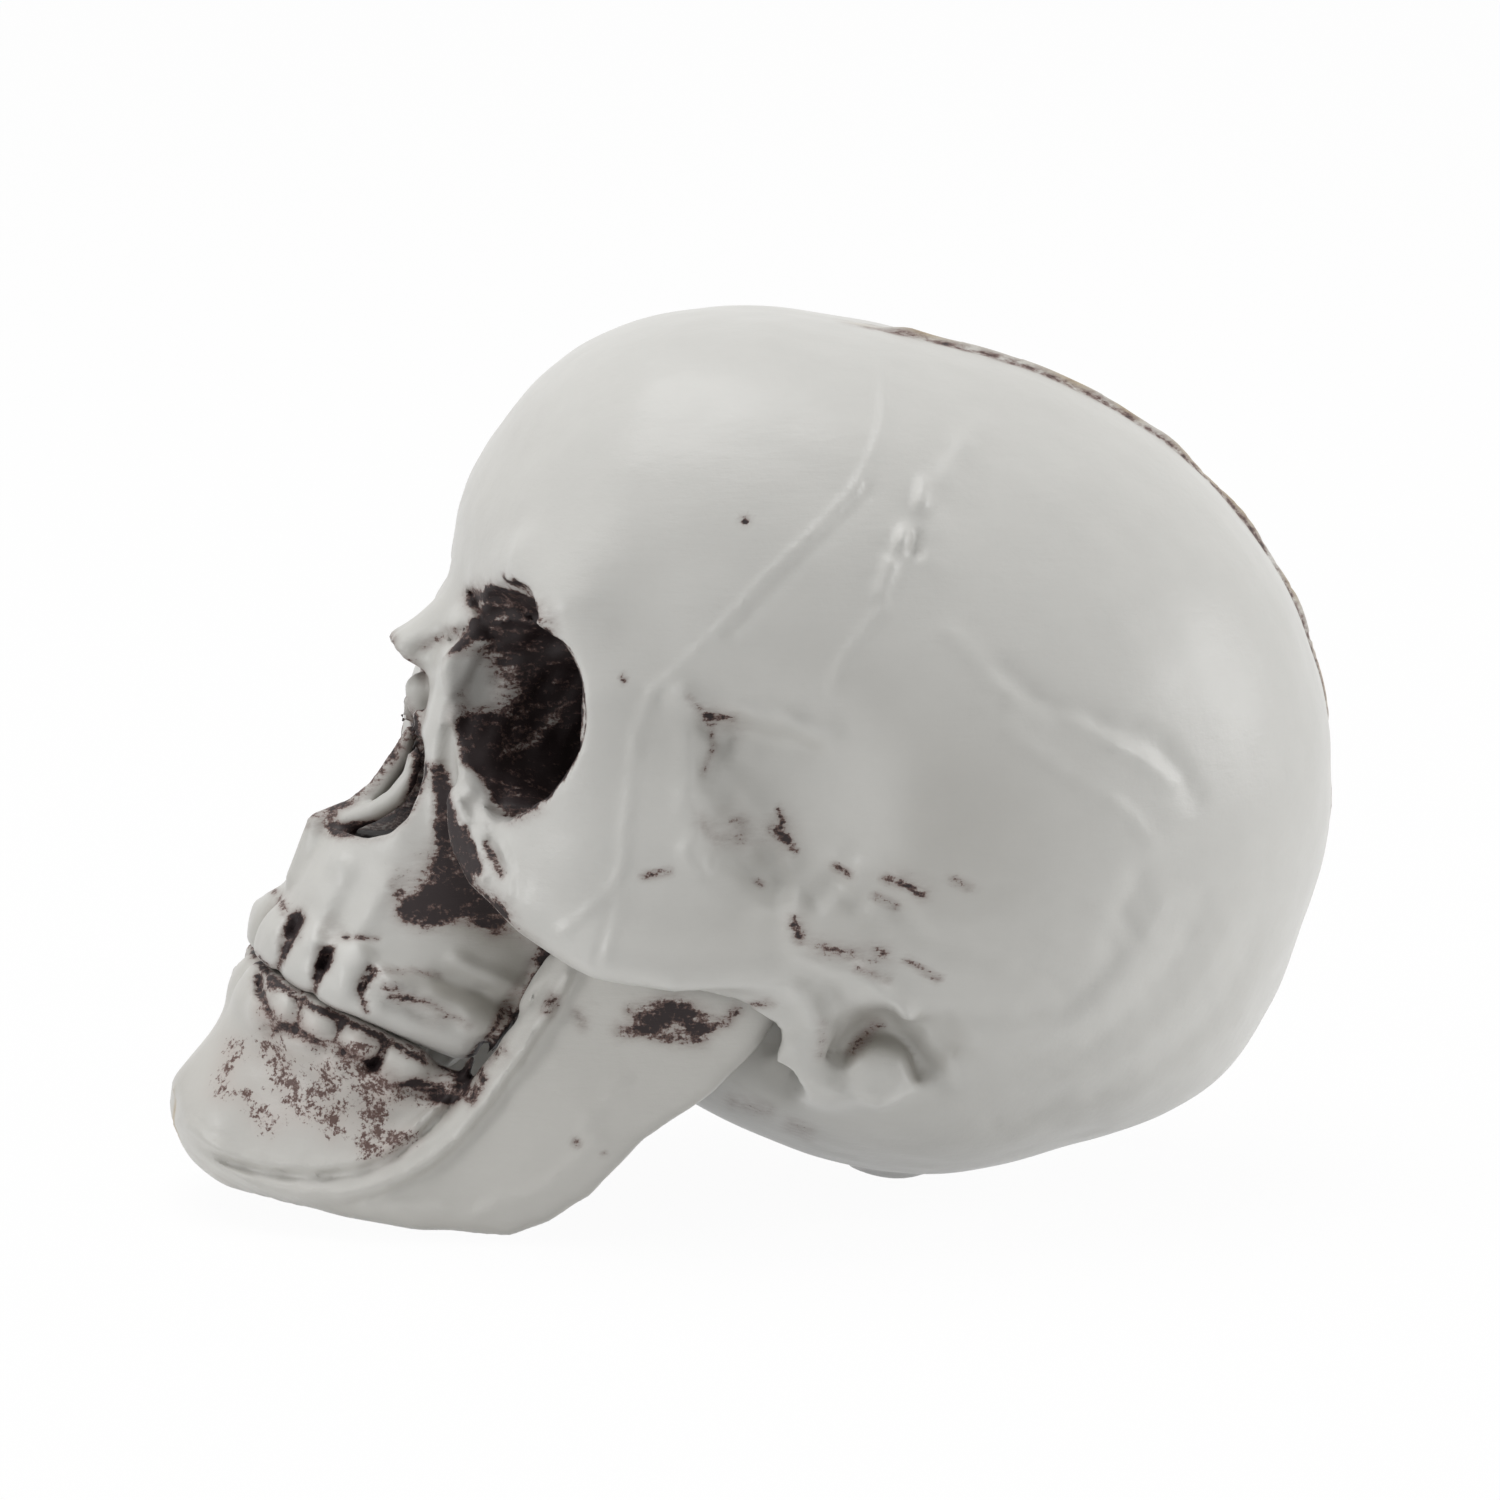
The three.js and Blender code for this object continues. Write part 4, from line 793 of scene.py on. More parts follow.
def head_form(s, p):
    """The head: braincase, nub, brow, nose, cheek, jaw and rim less its hollows, then teeth and strokes."""
    h, f, m = s.head, s.face, s.mesh
    temple = ellipsoid(p, place(s, TEMPLE_PLACE_SHARES),
                       (f.temple_half_breadth, f.temple_half_length, f.temple_half_height))
    nub = ellipsoid(p, (0, h.nub_back, h.nub_up),
                    (h.nub_radius, h.nub_radius * NUB_LENGTH_SHARE, h.nub_radius))
    spine = ellipsoid(p, (0, h.spine_back, h.base_up - h.base_half_height),
                      (h.spine_half_breadth, h.spine_half_length, h.spine_half_length))
    d = cut(braincase(s, p), temple, m.body_blend)
    d = soft_min(d, nub, m.form_blend)
    d = soft_min(d, chain(s, p, BROW_SHARES, f.brow_radius), m.body_blend)
    d = soft_min(d, chain(s, p, NOSE_BONE_SHARES, f.nose_bone_radius), m.form_blend)
    d = soft_min(d, cheek(s, p), m.form_blend)
    d = soft_min(d, upper_jaw(s, p), m.edge_blend)
    d = soft_min(d, chain(s, p, RIM_SHARES, f.rim_radius), m.edge_blend)
    face = (0, -h.face_reach, 0), (h.half_breadth, -f.socket_forward / 2, h.face_rise)
    d = cut(d, near(p, *face, lambda q: orbit(s, q)), m.rim_blend / 2)
    d = cut(d, chain(s, p, GROOVE_SHARES, f.groove_radius), m.rim_blend)
    d = cut(d, trace(p, GROOVE_UNDERCUT), m.rim_blend)
    d = cut(d, near(p, *face, lambda q: aperture(s, q)), m.rim_blend / 2)
    d = cut(d, nose_opening(s, p), m.rim_blend)
    d = soft_min(d, chain(s, p, SEPTUM_SHARES, f.septum_radius), m.rim_blend)
    d = soft_min(d, trace(p, NOSE_RIDGE), m.rim_blend)
    d = cut(d, lobe(s, p, PALATE_SHARES), m.edge_blend)
    d = cut(d, blob(p, EAR_HOLLOW), m.form_blend)
    d = soft_min(d, blob(p, EAR_BALL), m.rim_blend)
    d = soft_min(d, trace(p, EAR_COLUMN), m.edge_blend)
    d = cut(d, spine, m.edge_blend)
    d = cut(d, near_room(s, p), m.rim_blend)
    d = soft_min(d, teeth(s, p, True), m.tooth_blend)
    d = stroke(s, p, d, HEAD_STROKES)
    return weathered(s, p, d)


def weathered(s, p, d):
    """Unevenness of the moulding: soft waves, rougher ones in the socket, and flash on the crown's seam."""
    skin = np.abs(d) < s.mesh.margin
    q = tuple(c[skin] for c in p)
    inside = soft_inside(np.abs(socket(s, q)) - SOCKET_BAND * MM, SOCKET_BAND_FADE)
    x, y, z = (c / MM for c in q)
    crown = beyond(y, *FLASH_FRONT) * beyond(z, *FLASH_FOOT)
    wave = 1 - FLASH_WAVE[0] + waves(q, [FLASH_WAVE])
    flash = FLASH_HEIGHT * np.exp(-(x / FLASH_HALF_WIDTH) ** 2) * crown * wave
    change = waves(q, HEAD_WAVES) + inside * waves(q, SOCKET_WAVES) + flash
    d[skin] -= change * MM
    return d


# Lower jaw

# Rounding of the edge of the pin's hole, in millimetres.
BORE_BLEND = 0.2


def branch(s, p):
    """A plate that leans outwards as it rises and follows the jaw's parabola where it meets the body."""
    j, m = s.jaw, s.mesh
    points = [(-forward * s.head.face_reach, up * s.head.face_rise) for forward, up in BRANCH_OUTLINE_SHARES]
    side = outline(p[1], p[2], points) - j.branch_rounding
    spread = np.sqrt(2 * j.spread_radius * np.maximum(p[1] + j.chin_forward, 0)) - j.branch_thickness / 2
    lean = j.branch_out + np.minimum(p[2] - j.branch_lean_below, 0) * BRANCH_LEAN
    plate = np.abs(p[0] - soft_min(lean, spread, m.form_blend)) - j.branch_thickness / 2
    eye = [(j.branch_out + half * j.branch_thickness / 4, -j.hinge_forward, j.hinge_up) for half in (-1, 1)]
    knuckle = round_cone(p, *eye, j.knuckle_radius, j.knuckle_radius)
    return soft_min(overlap(side, plate, m.edge_blend), knuckle, m.edge_blend)


def jaw_form(s, p):
    """The jaw: a horseshoe at the teeth that eases by 3 t^2 - 2 t^3 into a parabola, with its branch."""
    j, u, m = s.jaw, s.mouth, s.mesh
    teeth_line = horseshoe(s, p, u.half_breadth * LOWER_ARCH_SHARE, u.length * LOWER_ARCH_SHARE)
    drop = np.clip((-p[2] - u.bite_up / 2) / (j.chin_drop * CHIN_FADE_SHARE), 0, 1)
    share = drop * drop * (3 - 2 * drop)
    slope = p[0] / j.spread_radius
    lower = (p[0] * slope / 2 - p[1] - j.chin_forward) / np.sqrt(1 + slope * slope)
    outside = teeth_line * (1 - share) + lower * share
    d = overlap(outside, -outside - j.thickness, m.edge_blend)
    d = overlap(d, p[2] + u.bite_up, m.edge_blend)
    under = LOWER_EDGE_SLOPE * np.maximum(p[1] + j.chin_forward - j.thickness, 0) - j.chin_drop - p[2]
    d = overlap(d, under, m.form_blend)
    d = overlap(d, p[1] + u.rear, m.form_blend)
    d = soft_min(d, lobe(s, p, CHIN_BOSS_SHARES), m.form_blend)
    d = soft_min(d, branch(s, p), m.form_blend)
    d = soft_min(d, teeth(s, p, False), m.tooth_blend)
    d = soft_min(d, trace(p, CHIN_TIP), m.rim_blend)
    d = stroke(s, p, d, JAW_STROKES)
    skin = np.abs(d) < m.margin
    q = tuple(c[skin] for c in p)
    shield = outline(*drawn(s, q), SHIELD) * DRAWING_UNIT
    d[skin] -= SHIELD_RISE * MM * (before(shield, 0, SHIELD_FADE) - 0.5)
    d[skin] -= MM * waves(q, JAW_WAVES)
    return cut(d, hinge_bore(s, p, j.pin_clearance), BORE_BLEND * MM)


# Stain. Each measure is 0 where the plastic is clean and 1 where the stain is thick.

# Marks of the side drawing, as brushed: half width in millimetres and strength, below zero where the plastic
# is clean, then points.
HEAD_MARKS = [
    # The eye socket: streaks at its top, a clean inner wall and a clean lip low down.
    (1.8, -0.95, [(322, 456), (330, 474)]), (0.8, 0.8, [(336, 546), (350, 553), (363, 548)]),
    (1, -0.9, [(318, 534), (325, 546)]), (1, -0.75, [(303, 455), (306, 510)]),
    (1, 0.75, [(328, 409), (350, 411), (368, 426)]), (0.5, 0.5, [(322, 408), (332, 424), (345, 432)]),
    (0.25, -0.7, [(334, 424), (352, 420), (372, 427)]), (0.25, -0.6, [(328, 412), (348, 412)]),
    (1, 0.7, [(322, 500), (332, 515), (338, 530)]), (0.5, 0.5, [(318, 494), (338, 492)]),
    (0.45, 0.55, [(290, 441), (300, 437), (309, 431)]), (0.5, 0.5, [(312, 439), (324, 427)]),
    (0.6, 0.35, [(352, 500), (368, 490), (380, 470)]), (0.5, -0.35, [(345, 510), (365, 505), (385, 480)]),
    # The nose: the crescent under the inner fold and the brown side of the middle wall.
    (0.5, 1.2, [(230, 567), (250, 568), (262, 565), (272, 558), (280, 548), (285, 535), (287, 524)]),
    (0.45, -0.6, [(232, 560), (250, 553), (262, 543), (273, 533), (280, 524)]),
    (0.8, 0.75, [(275, 497), (266, 515), (254, 530), (240, 545), (228, 553)]),
    (0.25, 0.9, [(281, 490), (284, 505)]), (0.28, 1, [(287, 508), (288, 528)]),
    (0.4, 0.4, [(277, 478), (284, 490)]),
    # The groove beside the nose and the hollow under the cheek.
    (0.6, 1, [(300, 524), (304, 545), (308, 562), (311, 580), (311, 600)]),
    (1, 0.95, [(309, 572), (312, 594), (317, 610), (336, 624)]),
    (1.2, 0.55, [(305, 594), (298, 610), (288, 617)]), (2, 0.32, [(300, 594), (286, 610)]),
    (0.5, 0.3, [(352, 636), (362, 644)]), (1, 0.8, [(302, 622), (318, 618), (338, 628)]),
    (0.8, 0.6, [(278, 622), (290, 626), (305, 622)]), (0.3, 0.5, [(268, 604), (272, 610)]),
    (0.3, 0.9, [(318, 565), (323, 580), (327, 595)]), (0.3, 0.8, [(331, 576), (338, 588), (342, 597)]),
    (0.3, -0.6, [(314, 546), (320, 560), (328, 580)]),
    # Thin lines on the upper jaw.
    (0.18, 0.6, [(235, 640), (258, 641)]), (0.22, 0.6, [(258, 663), (280, 662), (300, 666)]),
    (0.25, 0.5, [(268, 681), (280, 683)]), (0.3, 0.35, [(262, 673), (290, 684), (320, 700)]),
    # Between the teeth and at the bite.
    (0.55, 0.85, [(203, 628), (199, 637)]), (0.28, 0.6, [(199, 637), (195, 648)]),
    (0.5, 0.85, [(223, 652), (220, 660)]), (0.25, 0.6, [(220, 660), (217, 667)]),
    (0.45, 0.7, [(253, 664), (248, 673)]), (0.25, 0.6, [(196, 647), (190, 662)]),
    (1.1, 0.2, [(270, 676), (296, 694)]), (0.25, 0.5, [(218, 665), (215, 676)]),
    (0.25, 0.7, [(246, 678), (250, 690)]),
    (0.22, 0.8, [(173, 650), (186, 664), (200, 676), (225, 689), (245, 697), (270, 709), (290, 721)]),
    (0.3, 0.7, [(190, 612), (194, 622)]),
    # The gap behind the upper jaw.
    (0.9, 1.2, [(374, 668), (362, 690), (350, 708), (335, 728)]),
    (0.45, -0.9, [(366, 662), (358, 674), (352, 688), (342, 704), (330, 718)]),
    # The temple.
    (0.25, 0.5, [(470, 475), (485, 492), (487, 510), (480, 528)]),
    (0.5, 0.3, [(478, 560), (490, 575), (505, 572)]),
    # Spots and cracks.
    (0.25, 1, [(508, 355), (509, 356)]), (0.2, 0.6, [(425, 462), (426, 465)]),
    (0.3, 0.45, [(484, 488), (500, 490)]),
    (0.2, 0.8, [(531, 552), (534, 562), (532, 568), (538, 574), (543, 582)]),
    (0.3, 0.6, [(526, 566), (536, 572)]), (0.3, 0.5, [(503, 560), (508, 562)]),
    (0.3, 0.7, [(570, 592), (580, 597)]), (0.3, 0.7, [(440, 598), (457, 595)]),
    (0.25, 0.6, [(516, 602), (520, 604)]), (0.3, 0.62, [(604, 600), (616, 603)]),
    (0.3, 0.8, [(620, 605), (630, 611)]), (0.3, 0.7, [(598, 612), (612, 618)]),
    (0.32, 0.68, [(542, 628), (546, 642)]), (0.36, 0.48, [(560, 645), (582, 652)]),
    (0.3, 0.6, [(598, 648), (603, 650)]), (0.25, 0.6, [(618, 655), (640, 668)]),
    (0.3, 0.5, [(585, 662), (605, 668)]), (0.35, 0.6, [(510, 688), (525, 684)]),
    (0.3, 0.4, [(650, 600), (662, 606)]), (0.9, 0.2, [(612, 600), (628, 608)]),
    (0.9, 0.24, [(534, 560), (538, 576)]), (0.9, 0.22, [(560, 648), (604, 654)]),
    (0.8, 0.24, [(543, 630), (546, 636)]), (1, 0.2, [(484, 490), (500, 494)]),
    (1.2, 0.16, [(498, 560), (512, 570)]),
    # The ear, with painted shade as dark stain in the arc over its ball, and the base.
    (0.5, 0.6, [(598, 700), (590, 708), (582, 718)]), (0.4, 0.3, [(562, 700), (560, 720)]),
    (0.35, 0.8, [(590, 802), (596, 806)]), (0.5, 0.4, [(500, 752), (524, 758)]),
    (0.5, 0.35, [(540, 768), (552, 774)]),
]
# Broad patches of painted shade.
HEAD_SHADES = [
    (2.2, 0.4, [(306, 674), (345, 692)]), (1.6, 0.3, [(354, 652), (348, 690)]),
    (1.4, 0.25, [(300, 618), (330, 640)]), (2.6, 0.1, [(500, 560), (520, 600)]),
    (1, 0.2, [(590, 696), (576, 716)]), (1, 0.15, [(500, 700), (530, 730)]),
]
JAW_MARKS = [
    # Between and under the teeth.
    (0.22, 0.7, [(173, 652), (186, 668), (200, 680), (225, 693), (245, 701), (270, 713), (290, 725)]),
    (0.24, 0.6, [(205, 684), (204, 696), (200, 704)]), (0.24, 0.75, [(232, 700), (229, 710), (234, 718)]),
    (0.24, 0.6, [(263, 712), (258, 723)]), (0.24, 0.6, [(176, 666), (179, 682), (186, 694)]),
    (0.35, 0.6, [(192, 700), (206, 706), (222, 712)]), (0.6, 0.3, [(178, 672), (182, 690), (190, 702)]),
    (0.8, 0.2, [(186, 702), (206, 706), (240, 722)]), (0.7, 0.2, [(255, 730), (285, 742)]),
    (0.3, 0.5, [(234, 720), (246, 722), (256, 728)]), (0.3, 0.6, [(268, 742), (284, 738), (300, 742)]),
    (0.3, 0.5, [(183, 672), (188, 676)]),
    # The mark in the jaw's rear corner.
    (0.3, 0.9, [(302, 726), (315, 731), (318, 742), (308, 752), (296, 750)]),
    (0.35, 0.8, [(283, 741), (308, 748)]), (0.4, 0.7, [(322, 724), (330, 736), (322, 752)]),
    (0.7, 0.35, [(300, 735), (320, 745)]), (0.8, 0.85, [(312, 716), (326, 722), (338, 716)]),
    # The patch on the branch, and spots.
    (0.9, 0.95, [(444, 697), (460, 692), (476, 698)]), (0.6, 0.6, [(424, 704), (444, 702)]),
    (0.5, 0.55, [(478, 702), (496, 698), (502, 690)]), (0.6, 0.5, [(455, 708), (478, 710)]),
    (0.5, 0.45, [(430, 690), (452, 684), (470, 686)]), (0.5, 0.6, [(378, 682), (374, 690)]),
    (0.4, 0.5, [(394, 692), (398, 700)]), (0.25, 0.9, [(393, 779), (394, 781)]),
    (0.2, 0.5, [(412, 787), (413, 788)]), (0.4, 0.5, [(505, 660), (510, 664)]),
    (0.35, 0.6, [(516, 680), (524, 676)]),
]
# Where the stain only fills small pits.
SPECKLE_MARKS = [
    (1, 0.9, [(160, 714), (150, 745)]), (1.5, 1, [(186, 718), (196, 738), (208, 755)]),
    (1, 0.9, [(168, 750), (184, 768)]), (1.1, 0.9, [(222, 730), (228, 772)]),
    (1.5, 1, [(246, 722), (252, 755), (256, 780)]), (1, 0.9, [(262, 745), (300, 750)]),
    (0.9, 0.8, [(180, 692), (206, 702)]), (0.7, 0.8, [(250, 783), (282, 776)]),
    (0.8, 0.6, [(214, 712), (240, 718)]),
]
# Colours of the stain from its soft rim to its thick middle, in the chin's pits, of the painted shade, and of
# the flash.
WASH_STAIN = (0.36, 0.25, 0.22, 1)
THIN_STAIN = (0.17, 0.105, 0.09, 1)
THICK_STAIN = (0.024, 0.016, 0.0165, 1)
SPECKLE_STAIN = (0.13, 0.055, 0.045, 1)
PAINTED_SHADE_COLOUR = (0.27, 0.25, 0.215, 1)
FLASH_COLOUR = (0.42, 0.335, 0.215, 1)
# How thick the stain of each hollow is. Above 1 the brush leaves no gaps.
ORBIT_STAIN, NOSE_STAIN, GROOVE_STAIN, BITE_STAIN, JAW_BITE_STAIN = 1.05, 0.75, 0.9, 0.5, 0.4
# Brown stain and painted shade of narrow folds: where it starts, how fast it grows as they close, and its
# strength.
HEAD_FOLD_STAIN_AND_SHADE, JAW_FOLD_STAIN_AND_SHADE = (0.95, 1.25, 1.2), (0.9, 1.2, 1)
# How far stain reaches from the wall of its hollow, and how it fades, in millimetres.
ORBIT_BAND, ORBIT_BAND_FADE = 0.45, 0.4
NOSE_BAND = 0.7
GROOVE_BAND, GROOVE_FADE = 0.35, 0.7
SLOT_BAND, SLOT_FADE = 0.3, 0.5
REAR_LAP, REAR_FADE = 1.1, 0.8
# The eye socket's stain ends this far inside its border in the drawing, for what is nearer than ORBIT_NEAR.
ORBIT_EDGE, ORBIT_EDGE_FADE, ORBIT_NEAR = 0.2, 0.3, 9
# Where the stain of a hollow ends, and the width over which it fades, in millimetres.
ORBIT_FOOT, GROOVE_TOP, GUM_TOP, ROW_REAR = (18, 2), (18, 2), (6.5, 1.5), (-21, 1)
REAR_END, REAR_TOP, REAR_SIDE = (-15, 4), (12, 2), (13, 2)
JAW_GUM_FOOT, JAW_ROW_REAR, JAW_ROW_SIDE = (3.2, 1.2), (-22, 1), (11.5, 1)
BITE_UNDER, BITE_OVER = (-1.6, 0.8), (0.1, 0.7)
# How fast the nose's stain grows as the sky closes, and marks as the surface turns to the camera.
NOSE_START, NOSE_SLOPE = 1.5, 1.6
AWAY_START, AWAY_SLOPE = 1.6, 4
# The painted shade's share of closed sky and of closed folds, and its limits.
SKY_SHADE, FOLD_SHADE, MOST_SHADE, MOST_HEAD_SHADE = 0.75, 0.3, 0.6, 0.7
# Heights over the surface, in millimetres, at which the open sky and the narrow folds are felt.
SKY_HEIGHTS, FOLD_HEIGHTS = (3, 6, 9), (0.5, 1, 1.6)


def facing(s, normals):
    """How far normals face the camera of the side drawing, from -1 to 1: n . b for the head's tipped pose."""
    c, n = math.cos(s.rest_tilt), math.sin(s.rest_tilt)
    x, y, z = normals.T
    back = camera_axes(s.stage)[2]
    return x * back[0] + (y * c + z * n) * back[1] + (z * c - y * n) * back[2]


def marks(s, p, normals, table):
    """The sum of strength exp(-(D / w)^2) over the marks, on what faces the camera of the side drawing."""
    right, down = drawn(s, p)
    total = np.zeros(right.shape)
    for width, strength, points in table:
        reach = STROKE_REACH * width / DRAWING_UNIT
        (x0, y0), (x1, y1) = np.min(points, 0) - reach, np.max(points, 0) + reach
        hit = (right > x0) & (right < x1) & (down > y0) & (down < y1)
        distance = line_distance((right[hit], down[hit]), points) * DRAWING_UNIT
        total[hit] += strength * np.exp(-(distance / width) ** 2)
    return total * np.clip(AWAY_SLOPE * facing(s, normals), 0, 1)


def head_stain(s, p, normals, sky, crease):
    """Stain of the head from its hollows, given how open each place is far and near."""
    x, y, z = (c / MM for c in p)
    border = outline(*drawn(s, p), ORBIT) * DRAWING_UNIT * MM
    seen = soft_inside(border + ORBIT_EDGE * MM - np.maximum(ORBIT_NEAR * MM - p[0], 0), ORBIT_EDGE_FADE)
    away = np.clip(AWAY_START - AWAY_SLOPE * facing(s, normals), 0, 1)
    orbits = soft_inside(np.abs(orbit(s, p)) - ORBIT_BAND * MM, ORBIT_BAND_FADE) * beyond(z, *ORBIT_FOOT)
    orbits = orbits * np.maximum(seen, away)
    nose = soft_inside(np.abs(nose_opening(s, p)) - NOSE_BAND * MM, NOSE_BAND)
    nose = nose * np.clip(NOSE_START - NOSE_SLOPE * sky, 0, 1)
    groove = soft_inside(trace(p, GROOVE_UNDERCUT) - GROOVE_BAND * MM, GROOVE_FADE) * before(z, *GROOVE_TOP)
    front = before(y, *REAR_END)
    slot = soft_inside(near_room(s, p) - SLOT_BAND * MM, SLOT_FADE) * front
    rear = beyond(y, -s.mouth.rear / MM - REAR_LAP, REAR_FADE) * before(z, *REAR_TOP)
    rear = rear * before(x, *REAR_SIDE) * front
    row = before(z, *GUM_TOP) * before(y, *ROW_REAR)
    total = orbits * ORBIT_STAIN + nose * NOSE_STAIN + groove * GROOVE_STAIN + np.maximum(slot, rear)
    # The folds between the teeth get brown stain and painted shade.
    total += row * fold_stain_and_shade(crease, *HEAD_FOLD_STAIN_AND_SHADE) + row * beyond(-z, *BITE_UNDER) * BITE_STAIN
    return np.clip(total + marks(s, p, normals, HEAD_MARKS), 0, 1)


def jaw_stain(s, p, normals, crease):
    """Stain of the jaw between the teeth, with painted shade in their folds, at the bite, and as marked."""
    x, y, z = (c / MM for c in p)
    row = before(-z, *JAW_GUM_FOOT) * before(y, *JAW_ROW_REAR) * before(x, *JAW_ROW_SIDE)
    # The folds between the teeth get brown stain and painted shade.
    total = row * fold_stain_and_shade(crease, *JAW_FOLD_STAIN_AND_SHADE) + beyond(z, *BITE_OVER) * row * JAW_BITE_STAIN
    return np.clip(total + marks(s, p, normals, JAW_MARKS), 0, 1)


def fold_stain_and_shade(crease, start, steep, strength):
    """Brown stain and painted shade of closed narrow folds: the start less the steepness times the openness,
    times the strength.
    """
    return np.clip(start - steep * crease, 0, 1) * strength


def painted_shade(sky, crease):
    """Painted shade where little sky is seen: (1 - sky)^2 and, in narrow folds, (1 - crease)^2."""
    return np.clip(SKY_SHADE * (1 - sky) ** 2 + FOLD_SHADE * (1 - crease) ** 2, 0, MOST_SHADE)


def painted_head_shade(s, p, normals, sky, crease):
    """Painted shade on the head: that of its hollows and folds, and the patches."""
    return np.clip(painted_shade(sky, crease) + marks(s, p, normals, HEAD_SHADES), 0, MOST_HEAD_SHADE)


def jaw_speckle(s, p, normals):
    """Where pits on the chin are filled with stain."""
    return np.clip(marks(s, p, normals, SPECKLE_MARKS), 0, 1)


# Meshing

# Fine cells along the edge of a rough cell.
BLOCK = 4
# Rounds of easing the vertices.
EASINGS = 2
# Points beyond the far edge of a grid are read just inside its last cell.
FAR_EDGE = 1.001


def grid_lines(*spans):
    """Grid lines over spans of (start, end, cell), with a whole number of blocks between first and last."""
    lines = []
    for start, end, cell in spans:
        lines.extend(np.arange(start, end - cell / 2, cell))
    while len(lines) % BLOCK != 1:
        lines.append(lines[-1] + cell)
    return np.array(lines, np.float32)


def sample(form, axes):
    """The form on the grid: everywhere on every fourth line, and on each line only near the surface."""
    coarse = [a[::BLOCK] for a in axes]
    p = np.meshgrid(*coarse, indexing="ij")
    rough = form(tuple(c.ravel() for c in p)).reshape(p[0].shape)
    reach = BLOCK * max(np.diff(a).max() for a in axes)
    shape = tuple(n - 1 for n in rough.shape)
    closest = np.full(shape, np.inf)
    for corner in itertools.product((0, 1), repeat=3):
        part = rough[tuple(slice(c, n + c) for c, n in zip(corner, shape))]
        closest = np.minimum(closest, np.abs(part))
    active = closest < reach
    fine = np.zeros([len(a) for a in axes], bool)
    for corner in itertools.product((0, 1), repeat=3):
        spread = active
        for k in range(3):
            spread = np.repeat(spread, BLOCK, k)
        fine[tuple(slice(c, n + c) for c, n in zip(corner, spread.shape))] |= spread
    values = rough
    for k in range(3):
        values = np.repeat(values, BLOCK, k)
    values = values[tuple(slice(0, len(a)) for a in axes)].copy()
    where = np.nonzero(fine)
    values[where] = form(tuple(a[w] for a, w in zip(axes, where)))
    return values, rough, coarse


def net(values, axes):
    """One vertex in each cell that the surface crosses, and one quad round each grid edge that it crosses."""
    shape = tuple(n - 1 for n in values.shape)
    inside = values < 0
    count = np.zeros(shape, np.int8)
    for corner in itertools.product((0, 1), repeat=3):
        count += inside[tuple(slice(c, n + c) for c, n in zip(corner, shape))]
    cells = np.argwhere((count > 0) & (count < 8))
    index = np.full(shape, -1)
    index[tuple(cells.T)] = np.arange(len(cells))
    total, hits = np.zeros((len(cells), 3)), np.zeros(len(cells))
    for axis in range(3):
        others = [k for k in range(3) if k != axis]
        for pair in itertools.product((0, 1), repeat=2):
            start = cells.copy()
            start[:, others] += pair
            end = start.copy()
            end[:, axis] += 1
            a, b = values[tuple(start.T)], values[tuple(end.T)]
            cross = (a < 0) != (b < 0)
            t = a[cross] / (a[cross] - b[cross])
            low = np.stack([axes[k][start[cross, k]] for k in range(3)], 1)
            low[:, axis] += t * (axes[axis][end[cross, axis]] - low[:, axis])
            total[cross] += low
            hits[cross] += 1
    quads = []
    for axis in range(3):
        u, v = (axis + 1) % 3, (axis + 2) % 3
        a = inside[tuple(slice(0, -1) if k == axis else slice(1, -1) for k in range(3))]
        b = inside[tuple(slice(1, None) if k == axis else slice(1, -1) for k in range(3))]
        at = np.argwhere(a != b)
        flip = ~a[tuple(at.T)]
        at[:, [u, v]] += 1
        ring = []
        for du, dv in ((1, 1), (0, 1), (0, 0), (1, 0)):
            cell = at.copy()
            cell[:, u] -= du
            cell[:, v] -= dv
            ring.append(index[tuple(cell.T)])
        quad = np.stack(ring, 1)
        quad[flip] = quad[flip][:, ::-1]
        quads.append(quad)
    return total / hits[:, None], np.concatenate(quads)


def interpolate(values, axes, points):
    """Trilinear interpolation of grid values at points."""
    at, share = [], []
    for k in range(3):
        spot = np.clip(np.interp(points[:, k], axes[k], np.arange(len(axes[k]))), 0, len(axes[k]) - FAR_EDGE)
        at.append(spot.astype(int))
        share.append(spot - at[k])
    total = np.zeros(len(points))
    for corner in itertools.product((0, 1), repeat=3):
        weight = np.ones(len(points))
        for k in range(3):
            weight *= share[k] if corner[k] else 1 - share[k]
        total += weight * values[at[0] + corner[0], at[1] + corner[1], at[2] + corner[2]]
    return total


def slope(values, axes, points, step):
    """Unit gradient of grid values at points."""
    g = np.zeros((len(points), 3))
    for k in range(3):
        move = np.zeros(3)
        move[k] = step
        g[:, k] = interpolate(values, axes, points + move) - interpolate(values, axes, points - move)
    return g / np.maximum(np.linalg.norm(g, axis=1, keepdims=True), TINIEST)


def half_surface(form, axes):
    """The left half of a form: vertices, quads, and the fine and the rough grid of its values."""
    cell = axes[0][1] - axes[0][0]
    values, rough, coarse = sample(lambda p: form((np.abs(p[0]), p[1], p[2])), axes)
    closed = values.copy()
    closed[0] = np.maximum(closed[0], cell)
    points, quads = largest(*net(closed, axes))
    for _ in range(EASINGS):
        points = relax(points, quads, values, axes, cell)
    return points, quads, (values, axes), (rough, coarse)


def largest(points, quads):
    """The largest connected surface: vertices take their neighbours' lowest number until none changes."""
    label = np.arange(len(points))
    while True:
        low = label.copy()
        np.minimum.at(low, quads, label[quads].min(1)[:, None])
        low = low[low]
        if np.array_equal(low, label):
            break
        label = low
    kept = label == np.bincount(label).argmax()
    return points[kept], (np.cumsum(kept) - 1)[quads[kept[quads[:, 0]]]]


